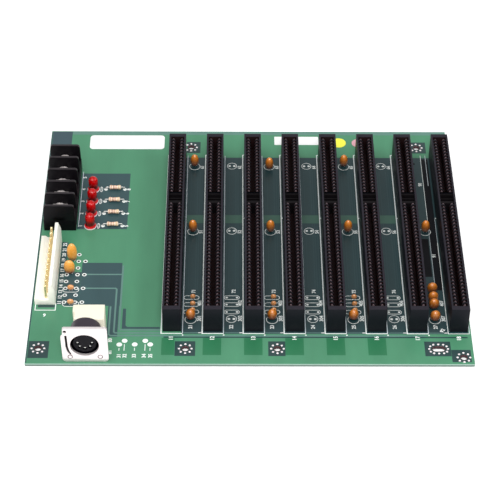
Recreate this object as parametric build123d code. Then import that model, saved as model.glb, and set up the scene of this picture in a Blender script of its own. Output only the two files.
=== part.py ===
"""Passive backplane board with eight card edge slots, a barrier terminal strip and a round socket.

Millimetres. The origin is at the middle of the board's underside, +Z is up, -Y is the edge with
the round socket, and the terminal strip is on the left. Every place is worked out from the
board's front left corner, or from the piece that it lines up with.
"""
from build123d import *
import os

os.makedirs("parts", exist_ok=True)

# Circuit board
board_thickness = 1.6
left_field_width = 70.96
right_margin = 6.07
front_margin = 22.22
back_margin = 21.17

# Card edge slots, two rows of contacts in each
slot_count = 8
slot_pitch = 20.32
slot_width = 9.1
slot_height = 15.5
slot_end_length = 4.0
contact_pitch = 2.54
front_contact_count = 31
back_contact_count = 18
key_gap = 10.16
slot_side_wall = 1.05
contact_well_depth = 9.0
contact_well_margin = 0.1
key_wall = 1.9
key_pocket_wall = 0.8
key_pocket_depth = 4.0
key_recess = 1.5
key_bar = 0.8
key_bar_drop = 2.2

# Contact springs of the card slots
contact_width = 1.3
contact_tip_drop = 1.0
contact_belly_drop = 4.2
card_gap = 1.8

# Mounting holes
mounting_hole_diameter = 3.9
mounting_slot_length = 6.9
front_hole_setback = 10.4
back_hole_setback = 14.2
corner_hole_inset = 5.7
first_slot_hole_offset = 6.9
third_slot_hole_offset = 11.5
seventh_slot_hole_offset = 9.4
last_slot_hole_offset = 1.0
last_slot_hole_setback = 4.6

# Barrier terminal strip
terminal_inset = 2.0
terminal_from_header = 8.6
terminal_count = 5
terminal_pitch = 9.9
terminal_width = 16.8
terminal_height = 17.0
terminal_fin_thickness = 1.6
terminal_fin_draft = 0.5
terminal_fin_corner = 1.3
terminal_floor_height = 7.2
terminal_post_width = 6.4
terminal_post_height = 9.4
terminal_clamp_thickness = 1.0
terminal_clamp_clearance = 0.3
terminal_clamp_lip = 0.8
terminal_screw_diameter = 5.8
terminal_screw_head = 2.4

# Indicator lamps and their resistors, one pair on each of the first four terminals
lamp_count = 4
lamp_from_terminal = 7.2
lamp_row_offset = 2.0
lamp_diameter = 5.0
lamp_height = 8.6
lamp_crown_drop = 1.0
lamp_crown_diameter = 3.2
resistor_from_lamp = 11.75
resistor_length = 6.2
resistor_diameter = 2.4
resistor_lead_span = 10.16
resistor_lead_side = 0.5
resistor_standoff = 0.35

# Power header
header_inset = 1.6
header_setback = 41.2
header_pin_count = 12
header_pin_pitch = 3.96
header_width = 10.45
header_floor_height = 3.2
header_lip_height = 4.2
header_lip_width = 2.2
header_wall_left = 7.0
header_wall_peak_left = 7.6
header_wall_peak_right = 9.2
header_wall_shoulder_height = 9.4
header_wall_height = 13.4
header_pin_side = 1.14
header_pin_height = 11.8
header_pin_from_left = 5.75
header_pin_clearance = 0.03
header_pin_taper = 0.3

# Round five way socket
socket_inset = 18.25
socket_setback = 1.4
socket_plate_width = 22.7
socket_plate_height = 22.4
socket_plate_thickness = 1.5
socket_plate_corner = 1.2
socket_centre_height = 11.1
socket_opening_diameter = 14.0
socket_barrel_diameter = 15.0
socket_barrel_wall = 0.5
socket_barrel_length = 10.6
socket_core_diameter = 11.6
socket_groove_depth = 6.0
socket_contact_count = 5
socket_contact_ring_diameter = 7.0
socket_contact_spread = 180.0
socket_contact_hole_side = 1.6
socket_contact_hole_depth = 7.0
socket_contact_side = 1.1
socket_contact_length = 5.0
socket_rear_width = 15.6
socket_rear_offset = 1.2
socket_rear_height = 17.0
socket_rear_length = 10.5
socket_tab_thickness = 0.8
socket_tab_clearance = 0.3
socket_tab_height = 12.0

# Dipped capacitors: width, height and thickness of each kind, with its lead
slot_capacitor_body = (4.4, 7.4, 3.4)
front_capacitor_body = (4.6, 6.0, 3.8)
column_capacitor_body = (4.8, 6.0, 3.4)
small_capacitor_body = (2.8, 2.8, 1.8)
header_capacitor_body = (5.2, 11.3, 3.6)
header_low_capacitor_body = (5.6, 8.4, 3.6)
header_small_capacitor_body = (3.4, 3.0, 2.0)
capacitor_lead_height = 0.3
capacitor_lead_side = 0.5
capacitor_corner_share = 0.29
capacitor_from_gap_middle = -1.0
small_capacitor_offset = 0.9

# Distance of the capacitors between the slots from the front end of the slots
back_capacitor_run = 128.7
middle_capacitor_run = 74.8
front_capacitor_run = 9.2
small_capacitor_runs = (13.9, 18.6, 23.6)
column_capacitor_runs = (8.4, 17.0, 22.1, 28.6)

# One back capacitor stands nearer the front than the others
near_back_capacitor = 3
near_back_capacitor_shift = 2.5

# Capacitors between the header and the field to its right, from the header's front right corner
header_capacitor_offset = (6.4, 32.9)
header_low_capacitor_offset = (5.6, 23.4)
header_small_capacitor_offset = (6.9, 11.0)
header_front_capacitor_offset = (7.5, 0.6)

# Sizes worked out from the ones above
front_section_length = (front_contact_count - 1) * contact_pitch
back_section_length = (back_contact_count - 1) * contact_pitch
slot_length = front_section_length + key_gap + back_section_length + 2 * slot_end_length
board_width = left_field_width + (slot_count - 1) * slot_pitch + right_margin
board_depth = front_margin + slot_length + back_margin
board_left = -board_width / 2
board_right = board_width / 2
board_front = -board_depth / 2
board_back = board_depth / 2
slot_front = board_front + front_margin
header_length = header_pin_count * header_pin_pitch
header_left = board_left + header_inset
header_right = header_left + header_width
header_front = board_front + header_setback
terminal_left = board_left + terminal_inset
terminal_front = header_front + header_length + terminal_from_header
terminal_length = terminal_count * terminal_pitch + terminal_fin_thickness
terminal_middle = terminal_left + terminal_width / 2
lamp_x = terminal_left + terminal_width + lamp_from_terminal
resistor_x = lamp_x + resistor_from_lamp
first_pole_y = terminal_front + (terminal_pitch + terminal_fin_thickness) / 2
socket_x = board_left + socket_inset + socket_plate_width / 2
socket_rear_x = socket_x + socket_rear_offset
socket_plate_back = board_front + socket_setback + socket_plate_thickness
socket_rear_front = socket_plate_back + socket_barrel_length
socket_axis_z = board_thickness + socket_centre_height
on_board = board_thickness


def block(low_x, high_x, low_y, high_y, low_z, high_z):
    """Box between two corners."""
    size = (high_x - low_x, high_y - low_y, high_z - low_z)
    middle = ((low_x + high_x) / 2, (low_y + high_y) / 2, (low_z + high_z) / 2)
    return Pos(*middle) * Box(*size)


def upright(profile, start_y, length):
    """Solid of a profile drawn in the XZ plane, running from start_y towards the back."""
    return Pos(0, start_y, 0) * extrude(Plane.XZ * profile, amount=-length)


def slot_x(number):
    """Centre line of a card slot, counted from 1 at the left."""
    return board_left + left_field_width + (number - 1) * slot_pitch


def contact_places():
    """Distance of every contact pair from the front end of its slot."""
    front = [slot_end_length + index * contact_pitch for index in range(front_contact_count)]
    first_back = front[-1] + key_gap
    back = [first_back + index * contact_pitch for index in range(back_contact_count)]
    return front, back


def hole_places():
    """Round mounting holes, and the place of the slotted one."""
    front_row = board_front + front_hole_setback
    back_row = board_back - back_hole_setback
    round_holes = [
        (board_left + corner_hole_inset, front_row),
        (slot_x(1) + first_slot_hole_offset, front_row),
        (slot_x(3) + third_slot_hole_offset, front_row),
        (slot_x(slot_count) + last_slot_hole_offset, board_front + last_slot_hole_setback),
        (slot_x(1) + first_slot_hole_offset, back_row),
        (slot_x(slot_count - 1) + seventh_slot_hole_offset, back_row),
    ]
    slotted = (slot_x(slot_count - 1) + seventh_slot_hole_offset, front_row)
    return round_holes, slotted


def circuit_board():
    """Board with its mounting holes."""
    outline = Rectangle(board_width, board_depth)
    round_holes, slotted = hole_places()
    for place in round_holes:
        outline -= Pos(*place) * Circle(mounting_hole_diameter / 2)
    outline -= Pos(*slotted) * SlotOverall(mounting_slot_length, mounting_hole_diameter)
    return extrude(outline, amount=board_thickness)


def slot_housing(centre_x):
    """Moulded body of one card slot, with two wells for its contacts and a keyed middle."""
    half = slot_width / 2
    inner = half - slot_side_wall
    top = on_board + slot_height
    floor = top - contact_well_depth
    front, back = contact_places()
    reach = contact_pitch / 2 + contact_well_margin
    housing = block(centre_x - half, centre_x + half, slot_front, slot_front + slot_length, on_board, top)
    for row in (front, back):
        well_front = slot_front + row[0] - reach
        well_back = slot_front + row[-1] + reach
        housing -= block(centre_x - inner, centre_x + inner, well_front, well_back, floor, top)
    recess_front = slot_front + front[-1] + reach
    recess_back = slot_front + back[0] - reach
    housing -= block(centre_x - inner, centre_x + inner, recess_front, recess_back, top - key_recess, top)
    pocket_front = recess_front + key_wall
    pocket_back = recess_back - key_pocket_wall
    pocket_floor = top - key_pocket_depth
    bar_front = (pocket_front + pocket_back - key_bar) / 2
    bar_top = top - key_bar_drop
    pocket = block(centre_x - inner, centre_x + inner, pocket_front, pocket_back, pocket_floor, top)
    bar = block(centre_x - inner, centre_x + inner, bar_front, bar_front + key_bar, pocket_floor, bar_top)
    return housing - (pocket - bar)


def slot_contacts(centre_x):
    """Contact springs of one slot: each leans from the well's wall to the card and back."""
    wall = slot_width / 2 - slot_side_wall
    top = on_board + slot_height
    tip = (wall, top - contact_tip_drop)
    belly = (card_gap / 2, top - contact_belly_drop)
    foot = (wall, top - contact_well_depth)
    right = upright(Polygon(tip, belly, foot, align=None), -contact_width / 2, contact_width)
    left = mirror(right, about=Plane.YZ)
    front, back = contact_places()
    springs = []
    for run in front + back:
        place = Pos(centre_x, slot_front + run, 0)
        springs += [place * left, place * right]
    return springs


def terminal_strip():
    """Base of the terminal strip with a barrier fin on each side of every pole."""
    half = terminal_width / 2
    back = terminal_front + terminal_length
    floor = on_board + terminal_floor_height
    base = block(terminal_left, terminal_left + terminal_width, terminal_front, back, on_board, floor)
    post_half = terminal_post_width / 2
    post_top = on_board + terminal_post_height
    post_left = terminal_middle - post_half
    base += block(post_left, post_left + terminal_post_width, terminal_front, back, floor, post_top)
    top_half = half - terminal_fin_draft
    side = Polygon(
        (-half, 0),
        (half, 0),
        (top_half, terminal_height),
        (-top_half, terminal_height),
        align=None,
    )
    side = chamfer(side.vertices().sort_by(Axis.Y)[-2:], terminal_fin_corner)
    for index in range(terminal_count + 1):
        start = terminal_front + index * terminal_pitch
        base += upright(Pos(terminal_middle, on_board) * side, start, terminal_fin_thickness)
    return base


def terminal_clamp(pole):
    """Clamp plate of one pole: a flat saddle with its two ends turned down over the post."""
    bay = terminal_pitch - terminal_fin_thickness - 2 * terminal_clamp_clearance
    middle_y = first_pole_y + pole * terminal_pitch
    low = on_board + terminal_post_height
    half = terminal_post_width / 2 + terminal_clamp_lip
    front = middle_y - bay / 2
    back = middle_y + bay / 2
    high = low + terminal_clamp_thickness
    plate = block(terminal_middle - half, terminal_middle + half, front, back, low, high)
    for sign in (-1, 1):
        inner = terminal_middle + sign * terminal_post_width / 2
        outer = terminal_middle + sign * half
        plate += block(min(inner, outer), max(inner, outer), front, back, low - terminal_clamp_lip, low)
    return plate


def terminal_screw(pole):
    """Head of one terminal screw, on its clamp plate."""
    low = on_board + terminal_post_height + terminal_clamp_thickness
    middle_y = first_pole_y + pole * terminal_pitch
    head = extrude(Circle(terminal_screw_diameter / 2), amount=terminal_screw_head)
    return Pos(terminal_middle, middle_y, low) * head


def lamp(row):
    """Round indicator lamp: straight body and a crown that narrows in one slope."""
    radius = lamp_diameter / 2
    crown = lamp_crown_diameter / 2
    outline = Polygon(
        (0, 0),
        (radius, 0),
        (radius, lamp_height - lamp_crown_drop),
        (crown, lamp_height),
        (0, lamp_height),
        align=None,
    )
    body = revolve(Plane.XZ * outline, Axis.Z)
    return Pos(lamp_x, first_pole_y + row * terminal_pitch - lamp_row_offset, on_board) * body


def resistor(row):
    """Resistor body lying along X."""
    radius = resistor_diameter / 2
    body = Rotation(0, 90, 0) * Cylinder(radius, resistor_length)
    height = on_board + resistor_standoff + radius
    return Pos(resistor_x, first_pole_y + row * terminal_pitch - lamp_row_offset, height) * body


def resistor_lead(row, sign):
    """Bent wire from one end of a resistor down to the board."""
    radius = resistor_diameter / 2
    height = on_board + resistor_standoff + radius
    row_y = first_pole_y + row * terminal_pitch - lamp_row_offset
    start = (sign * resistor_length / 2, 0, height)
    corner = (sign * resistor_lead_span / 2, 0, height)
    end = (sign * resistor_lead_span / 2, 0, on_board)
    path = Polyline(start, corner, end)
    section = Plane(origin=start, z_dir=(sign, 0, 0)) * Rectangle(resistor_lead_side, resistor_lead_side)
    return Pos(resistor_x, row_y, 0) * sweep(section, path=path, transition=Transition.RIGHT)


def header_pin_rows():
    """Y of every pin of the power header."""
    first = header_front + header_pin_pitch / 2
    return [first + index * header_pin_pitch for index in range(header_pin_count)]


def power_header():
    """Wafer of the power header with its ramped locking wall and a hole for every pin."""
    side = Polygon(
        (0, 0),
        (header_width, 0),
        (header_width, header_wall_shoulder_height),
        (header_wall_peak_right, header_wall_height),
        (header_wall_peak_left, header_wall_height),
        (header_wall_left, header_floor_height),
        (header_lip_width, header_floor_height),
        (header_lip_width, header_lip_height),
        (0, header_lip_height),
        align=None,
    )
    body = upright(Pos(header_left, on_board) * side, header_front, header_length)
    hole = header_pin_side + 2 * header_pin_clearance
    pin_x = header_left + header_pin_from_left
    hole_z = on_board + header_floor_height / 2
    for row_y in header_pin_rows():
        body -= Pos(pin_x, row_y, hole_z) * Box(hole, hole, header_floor_height)
    return body


def header_pin(row_y):
    """Square pin with a tapered tip, standing on the board."""
    half = header_pin_side / 2
    pin_x = header_left + header_pin_from_left
    top = on_board + header_pin_height
    pin = block(pin_x - half, pin_x + half, row_y - half, row_y + half, on_board, top)
    return chamfer(pin.faces().sort_by(Axis.Z)[-1].edges(), header_pin_taper)


def socket_shield():
    """Front plate of the round socket with its opening, and a tab down each side of the barrel."""
    half = socket_plate_width / 2
    front = board_front + socket_setback
    plate = Rectangle(socket_plate_width, socket_plate_height)
    plate = Pos(socket_x, on_board + socket_plate_height / 2) * plate
    plate = chamfer(plate.vertices(), socket_plate_corner)
    plate -= Pos(socket_x, socket_axis_z) * Circle(socket_opening_diameter / 2)
    shield = upright(plate, front, socket_plate_thickness)
    for sign in (-1, 1):
        inner = socket_x + sign * (socket_barrel_diameter / 2 + socket_tab_clearance)
        outer = inner + sign * socket_tab_thickness
        shield += block(
            min(inner, outer),
            max(inner, outer),
            socket_plate_back,
            socket_rear_front,
            on_board,
            on_board + socket_tab_height,
        )
    return shield


def socket_contact_places():
    """Places of the contacts in the socket's face, in an arc under its middle."""
    step = socket_contact_spread / (socket_contact_count - 1)
    radius = socket_contact_ring_diameter / 2
    places = []
    for index in range(socket_contact_count):
        spoke = Vector(radius, 0, 0).rotate(Axis.Y, index * step)
        places.append((socket_x + spoke.X, socket_axis_z + spoke.Z))
    return places


def socket_barrel():
    """Round insulator of the socket: a core in a round groove, with a hole for each contact."""
    barrel = Pos(socket_x, socket_axis_z) * Circle(socket_barrel_diameter / 2)
    body = upright(barrel, socket_plate_back, socket_barrel_length)
    ring = Circle(socket_barrel_diameter / 2 - socket_barrel_wall) - Circle(socket_core_diameter / 2)
    body -= upright(Pos(socket_x, socket_axis_z) * ring, socket_plate_back, socket_groove_depth)
    for place in socket_contact_places():
        hole = Pos(*place) * Rectangle(socket_contact_hole_side, socket_contact_hole_side)
        body -= upright(hole, socket_plate_back, socket_contact_hole_depth)
    return body


def socket_contact(place):
    """Square contact of the socket, standing on the bottom of its hole."""
    section = Pos(*place) * Rectangle(socket_contact_side, socket_contact_side)
    start = socket_plate_back + socket_contact_hole_depth - socket_contact_length
    return upright(section, start, socket_contact_length)


def socket_rear_body():
    """Moulded rear body of the socket, behind the barrel."""
    half = socket_rear_width / 2
    return block(
        socket_rear_x - half,
        socket_rear_x + half,
        socket_rear_front,
        socket_rear_front + socket_rear_length,
        on_board,
        on_board + socket_rear_height,
    )


def dipped_tablet(body):
    """Dipped body of a capacitor: a tablet with its corners taken off."""
    width, height, thickness = body
    face = Pos(0, height / 2) * Rectangle(width, height)
    face = chamfer(face.vertices(), capacitor_corner_share * width)
    return upright(face, -thickness / 2, thickness)


def capacitor_leads(body, place_x, place_y):
    """Two short wires that carry a dipped body above the board."""
    half = capacitor_lead_side / 2
    flat = body[0] * (1 - 2 * capacitor_corner_share) - capacitor_lead_side
    low = on_board
    high = on_board + capacitor_lead_height
    leads = []
    for sign in (-1, 1):
        middle = place_x + sign * flat / 2
        leads.append(block(middle - half, middle + half, place_y - half, place_y + half, low, high))
    return leads


def gap_x(number):
    """Line of the capacitors in the gap to the right of a slot."""
    return slot_x(number) + slot_pitch / 2 + capacitor_from_gap_middle


def write(name, solids):
    """One STEP file for a node, holding one solid or a group of them."""
    if isinstance(solids, list):
        shape = Compound(label=name, children=solids)
    else:
        shape = solids
    shape.label = name
    export_step(shape, f"parts/{name}.step")


# Board and card slots
write("circuit_board", circuit_board())
for number in range(1, slot_count + 1):
    write(f"card_slot_{number}", slot_housing(slot_x(number)))
    write(f"card_slot_{number}_contacts", slot_contacts(slot_x(number)))

# Terminal strip
write("terminal_strip", terminal_strip())
write("terminal_clamps", [terminal_clamp(pole) for pole in range(terminal_count)])
write("terminal_screws", [terminal_screw(pole) for pole in range(terminal_count)])

# Lamps and resistors
for row in range(lamp_count):
    write(f"indicator_lamp_{row + 1}", lamp(row))
    write(f"resistor_{row + 1}", resistor(row))
write("resistor_leads", [resistor_lead(row, sign) for row in range(lamp_count) for sign in (-1, 1)])

# Power header
write("power_header", power_header())
write("power_header_pins", [header_pin(row_y) for row_y in header_pin_rows()])

# Round socket
write("socket_shield", socket_shield())
write("socket_barrel", socket_barrel())
write("socket_contacts", [socket_contact(place) for place in socket_contact_places()])
write("socket_rear_body", socket_rear_body())

# Capacitors between the slots, on every other gap, then those beside the power header
capacitors = []
for number in range(1, slot_count, 2):
    x = gap_x(number)
    middle_place = (x, slot_front + middle_capacitor_run)
    capacitors.append((f"middle_capacitor_{number}", slot_capacitor_body, [middle_place]))
    if number == slot_count - 1:
        for index, run in enumerate(column_capacitor_runs, start=1):
            place = (x, slot_front + run)
            capacitors.append((f"column_capacitor_{index}", column_capacitor_body, [place]))
    else:
        shift = near_back_capacitor_shift if number == near_back_capacitor else 0
        back_place = (x, slot_front + back_capacitor_run - shift)
        front_place = (x, slot_front + front_capacitor_run)
        small_x = x + small_capacitor_offset
        small_places = [(small_x, slot_front + run) for run in small_capacitor_runs]
        capacitors.append((f"back_capacitor_{number}", slot_capacitor_body, [back_place]))
        capacitors.append((f"front_capacitor_{number}", front_capacitor_body, [front_place]))
        capacitors.append((f"small_capacitors_{number}", small_capacitor_body, small_places))
for name, body, (across, along) in (
    ("header_capacitor_tall", header_capacitor_body, header_capacitor_offset),
    ("header_capacitor_low", header_low_capacitor_body, header_low_capacitor_offset),
    ("header_capacitor_small", header_small_capacitor_body, header_small_capacitor_offset),
    ("header_capacitor_front", header_small_capacitor_body, header_front_capacitor_offset),
):
    capacitors.append((name, body, [(header_right + across, header_front + along)]))

tablets = {body: dipped_tablet(body) for _, body, _ in capacitors}
leads = []
for name, body, places in capacitors:
    low = on_board + capacitor_lead_height
    solids = [Pos(x, y, low) * tablets[body] for x, y in places]
    write(name, solids if len(solids) > 1 else solids[0])
    for x, y in places:
        leads += capacitor_leads(body, x, y)
write("capacitor_leads", leads)
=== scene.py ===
"""Looks of a passive backplane board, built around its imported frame.

Laid out as an add-on: sizes and colours are properties, each group of pieces has an operator, and
main() calls them in order. Sizes are in millimetres unless a property says metres.
"""
import math

import bmesh
import bpy
from mathutils import Matrix, Vector


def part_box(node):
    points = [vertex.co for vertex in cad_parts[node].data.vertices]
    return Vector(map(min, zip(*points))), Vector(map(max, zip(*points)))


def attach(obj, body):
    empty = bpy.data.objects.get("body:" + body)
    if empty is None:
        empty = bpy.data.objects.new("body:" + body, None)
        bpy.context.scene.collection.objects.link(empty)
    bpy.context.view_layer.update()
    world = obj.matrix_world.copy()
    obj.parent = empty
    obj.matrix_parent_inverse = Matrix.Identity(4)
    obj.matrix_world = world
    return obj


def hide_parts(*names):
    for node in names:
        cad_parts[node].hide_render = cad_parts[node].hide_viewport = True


bl_info = {
    "name": "Backplane board looks",
    "version": (1, 0, 0),
    "blender": (4, 5, 0),
    "location": "View3D > Sidebar > Backplane",
    "description": "Finish, print, contacts, solder and labels of a passive backplane board",
    "category": "Object",
}

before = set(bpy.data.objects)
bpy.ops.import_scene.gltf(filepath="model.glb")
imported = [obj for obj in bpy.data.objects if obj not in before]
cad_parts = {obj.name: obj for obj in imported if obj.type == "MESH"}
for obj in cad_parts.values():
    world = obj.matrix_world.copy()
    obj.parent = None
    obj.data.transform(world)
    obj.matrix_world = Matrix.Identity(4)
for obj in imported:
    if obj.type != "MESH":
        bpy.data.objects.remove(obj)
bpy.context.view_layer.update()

MM = 0.001
CRISP = math.radians(35)


def span(node):
    """Lowest and highest corner of a node of the frame, in millimetres."""
    low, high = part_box(node)
    return low / MM, high / MM


def ink(red, green, blue):
    """Linear colour of a screen colour given from 0 to 255."""
    values = []
    for value in (red / 255, green / 255, blue / 255):
        values.append(value / 12.92 if value <= 0.04045 else ((value + 0.055) / 1.055) ** 2.4)
    return tuple(values)


# Places taken from the frame
board_low, board_high = span("circuit_board")
top = board_high.z
slot_spans = [span(f"card_slot_{number}") for number in range(1, 9)]
slot_middles = [(low.x + high.x) / 2 for low, high in slot_spans]
slot_front = slot_spans[0][0].y
slot_back = slot_spans[0][1].y
slot_top = slot_spans[0][1].z
slot_half = (slot_spans[0][1].x - slot_spans[0][0].x) / 2
slot_pitch = slot_middles[1] - slot_middles[0]
terminal_low, terminal_high = span("terminal_strip")
header_low, header_high = span("power_header")
shield_low, shield_high = span("socket_shield")
barrel_low, barrel_high = span("socket_barrel")
rear_low, rear_high = span("socket_rear_body")
lamp_spans = [span(f"indicator_lamp_{number}") for number in range(1, 5)]
resistor_spans = [span(f"resistor_{number}") for number in range(1, 5)]
lamp_x = (lamp_spans[0][0].x + lamp_spans[0][1].x) / 2
resistor_x = (resistor_spans[0][0].x + resistor_spans[0][1].x) / 2
row_places = [(low.y + high.y) / 2 for low, high in lamp_spans]

# The dark field between the header and the slots
field_left = header_high.x + 11.6
field_right = header_high.x + 32.2
field_front = header_low.y - 0.7
field_back = header_high.y - 16.3
first_left = slot_middles[0] - slot_half

# Contacts of a slot
contact_pitch = 2.54
front_contacts = 31
back_contacts = 18
first_contact = slot_front + 4.0
first_back_contact = first_contact + 30 * contact_pitch + 10.16
well_half = slot_half - 1.05
well_floor = slot_top - 9.0
contact_rows = ((first_contact, front_contacts), (first_back_contact, back_contacts))
front_row_end = first_contact + (front_contacts - 1) * contact_pitch
last_wall = slot_middles[7] - slot_half
gap_middles = [(left + right) / 2 for left, right in zip(slot_middles, slot_middles[1:])]

# Places, pitches and counts of the other parts
pole_pitch = 9.9
pole_count = 5
pin_pitch = 3.96
pin_count = 12
pin_x = header_low.x + 5.75
pin_rows = [header_low.y + 1.98 + pin_pitch * pin for pin in range(pin_count)]
row_pitch = row_places[1] - row_places[0]
lead_reach = 5.08
trio_thickness = 1.8
trio_runs = (14.0, 19.3, 24.4)
fin_thickness = 1.6
front_pads_left = board_low.x + 45.4
front_hole_row = board_low.y + 10.4

# Heights of what lies on the board
field_top = top + 0.02
faint_top = top + 0.03
trace_top = top + 0.04
print_top = top + 0.06
word_top = top + 0.07
pad_top = top + 0.08
label_top = top + 0.12
joint_drop = 0.45


def length(name, description, metres):
    """Property for a length in metres."""
    return bpy.props.FloatProperty(
        name=name, description=description, default=metres, unit="LENGTH", precision=5
    )


def power(name, description, watts):
    """Property for the power of a light."""
    return bpy.props.FloatProperty(name=name, description=description, default=watts, unit="POWER")


def tint(name, description, colour):
    """Property for a colour."""
    return bpy.props.FloatVectorProperty(
        name=name, description=description, subtype="COLOR", default=colour, min=0, max=1
    )


class BoardLook(bpy.types.PropertyGroup):
    """Sizes and colours of the board and of what is printed on it."""

    print_line: length("Print line", "Width of a bold printed line", 0.00052)
    trace_line: length("Trace", "Width of a copper trace", 0.0009)
    mask: tint("Mask over copper", "Solder mask over copper", ink(78, 142, 108))
    bare: tint("Mask over laminate", "Solder mask with no copper under it", ink(40, 67, 71))
    deep: tint("Deep mask", "Darker patches of the mask", ink(46, 118, 80))
    trace: tint("Trace colour", "Solder mask over a trace", ink(98, 136, 128))
    laminate: tint("Cut edge", "Laminate at the board's cut edge", ink(168, 200, 186))
    print_ink: tint("Print", "White printing ink", ink(246, 251, 248))


class SlotLook(bpy.types.PropertyGroup):
    """Sizes and colours of the card edge slots."""

    rib: length("Rib", "Thickness of the rib between two contacts", 0.0009)
    strip: length("Strip", "Thickness of a contact spring", 0.00032)
    strip_width: length("Strip width", "Width of a contact spring", 0.001)
    plastic: tint("Slot plastic", "Black plastic of the slots", ink(16, 18, 25))
    metal: tint("Spring metal", "Plated metal of the springs", ink(112, 94, 100))


class PartLook(bpy.types.PropertyGroup):
    """Colours of the parts at the left of the board and of the capacitors."""

    lamp: tint("Lamp", "Red plastic of the lamps", ink(200, 2, 6))
    cream: tint("Cream", "Plastic of the power header", ink(255, 253, 242))
    tin: tint("Tin", "Solder and tinned wire", ink(226, 226, 222))
    shell: tint("Shell", "Bright plated sheet of the round socket", ink(240, 232, 232))
    orange: tint("Orange", "Resin of the larger capacitors", ink(253, 152, 54))
    yellow: tint("Yellow", "Resin of the capacitors beside the header", ink(255, 176, 66))
    tan: tint("Tan", "Resin of the small capacitors", ink(244, 166, 100))


class StageLook(bpy.types.PropertyGroup):
    """Floor and lights."""

    floor: tint("Floor", "Colour of the floor", (0.9, 0.9, 0.9))
    key_power: power("Key light", "Power of the large light above", 11.5)
    fill_power: power("Fill light", "Power of the light from the right", 7.0)
    spark_power: power("Spark light", "Power of the small light in front", 5.0)
    sky: bpy.props.FloatProperty(name="Sky", description="Strength of the light all round", default=0.55)


def take(piece):
    """Select one piece alone and make it active."""
    bpy.ops.object.select_all(action="DESELECT")
    piece.select_set(True)
    bpy.context.view_layer.objects.active = piece


def switch(mode):
    """Switch the active piece to edit mode or back to object mode."""
    bpy.ops.object.mode_set(mode=mode)


def adjust(thing, **settings):
    """Give a modifier, node, curve or light its settings."""
    for key, value in settings.items():
        setattr(thing, key, value)
    return thing


def added(name, data):
    """New object in the scene with its data."""
    piece = bpy.data.objects.new(name, data)
    bpy.context.collection.objects.link(piece)
    return piece


def settle(piece):
    """Bake a piece's place, turn and size into its mesh."""
    take(piece)
    bpy.ops.object.transform_apply(location=True, rotation=True, scale=True)
    return piece


def tidy(piece):
    """Merge doubled points and turn every face outwards."""
    take(piece)
    switch("EDIT")
    bpy.ops.mesh.select_all(action="SELECT")
    bpy.ops.mesh.remove_doubles(threshold=0.000001)
    bpy.ops.mesh.normals_make_consistent(inside=False)
    switch("OBJECT")
    return piece


def smooth(piece, angle=CRISP):
    """Smooth shading, with crisp edges past an angle."""
    take(piece)
    bpy.ops.object.shade_smooth_by_angle(angle=angle)
    return piece


def modify(piece, kind, **settings):
    """Add one modifier with its settings and apply it."""
    modifier = adjust(piece.modifiers.new(kind.title(), kind), **settings)
    take(piece)
    bpy.ops.object.modifier_apply(modifier=modifier.name)
    return piece


def soften(piece, width, segments=2):
    """Round the sharp edges of a piece."""
    return modify(
        piece, "BEVEL", width=width * MM, segments=segments, limit_method="ANGLE",
        angle_limit=math.radians(40),
    )


def row_of(piece, count, step):
    """Repeat a piece in a straight row."""
    return modify(
        piece, "ARRAY", count=count, use_relative_offset=False, use_constant_offset=True,
        constant_offset_displace=Vector(step) * MM,
    )


def mirrored(piece):
    """Add the mirror image of a piece across the plane x = 0."""
    return modify(piece, "MIRROR", use_axis=(True, False, False), use_mirror_merge=False)


def join(name, pieces):
    """Join pieces into one."""
    take(pieces[0])
    for piece in pieces[1:]:
        piece.select_set(True)
    if len(pieces) > 1:
        bpy.ops.object.join()
    joined = bpy.context.object
    joined.name = name
    return joined


def moved(piece, place, turn=0, axis="X"):
    """Turn a piece's mesh about one axis through the origin, then move it to a place."""
    piece.data.transform(Matrix.Rotation(math.radians(turn), 4, axis))
    piece.data.transform(Matrix.Translation(Vector(place) * MM))
    return piece


def twin(piece, name, shift=(0, 0, 0)):
    """Copy of a piece with its own mesh, moved by a shift."""
    copy = added(name, piece.data.copy())
    return moved(copy, shift)


def drop(*pieces):
    """Remove pieces that were only patterns for copies."""
    for piece in pieces:
        bpy.data.objects.remove(piece)


def slab(name, left, right, front, back, low, high):
    """Block between six planes."""
    place = Vector((left + right, front + back, low + high)) / 2 * MM
    bpy.ops.mesh.primitive_cube_add(size=MM, location=place)
    piece = bpy.context.object
    piece.name = name
    piece.scale = (right - left, back - front, high - low)
    return settle(piece)


def cut(piece, cutters):
    """Cut the joined shape of other pieces out of one."""
    tool = join("cutter", cutters)
    modify(piece, "BOOLEAN", operation="DIFFERENCE", solver="EXACT", object=tool)
    drop(tool)
    return tidy(piece)


def wire(name, points):
    """Chain of edges through a few points, left in edit mode with all of it selected."""
    bpy.ops.mesh.primitive_plane_add(size=MM)
    piece = bpy.context.object
    piece.name = name
    switch("EDIT")
    bpy.ops.mesh.select_mode(type="VERT")
    bpy.ops.mesh.select_all(action="SELECT")
    bpy.ops.mesh.merge(type="CENTER")
    bpy.ops.transform.translate(value=Vector(points[0]) * MM)
    for start, end in zip(points, points[1:]):
        step = (Vector(end) - Vector(start)) * MM
        bpy.ops.mesh.extrude_region_move(TRANSFORM_OT_translate={"value": step})
    bpy.ops.mesh.select_all(action="SELECT")
    return piece


def turned(name, profile, steps=24):
    """Round piece about the Z axis, from the radius and height of a few points."""
    piece = wire(name, [(radius, 0, height) for radius, height in profile])
    bpy.ops.mesh.spin(steps=steps, angle=2 * math.pi, center=(0, 0, 0), axis=(0, 0, 1))
    switch("OBJECT")
    return tidy(piece)


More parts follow.
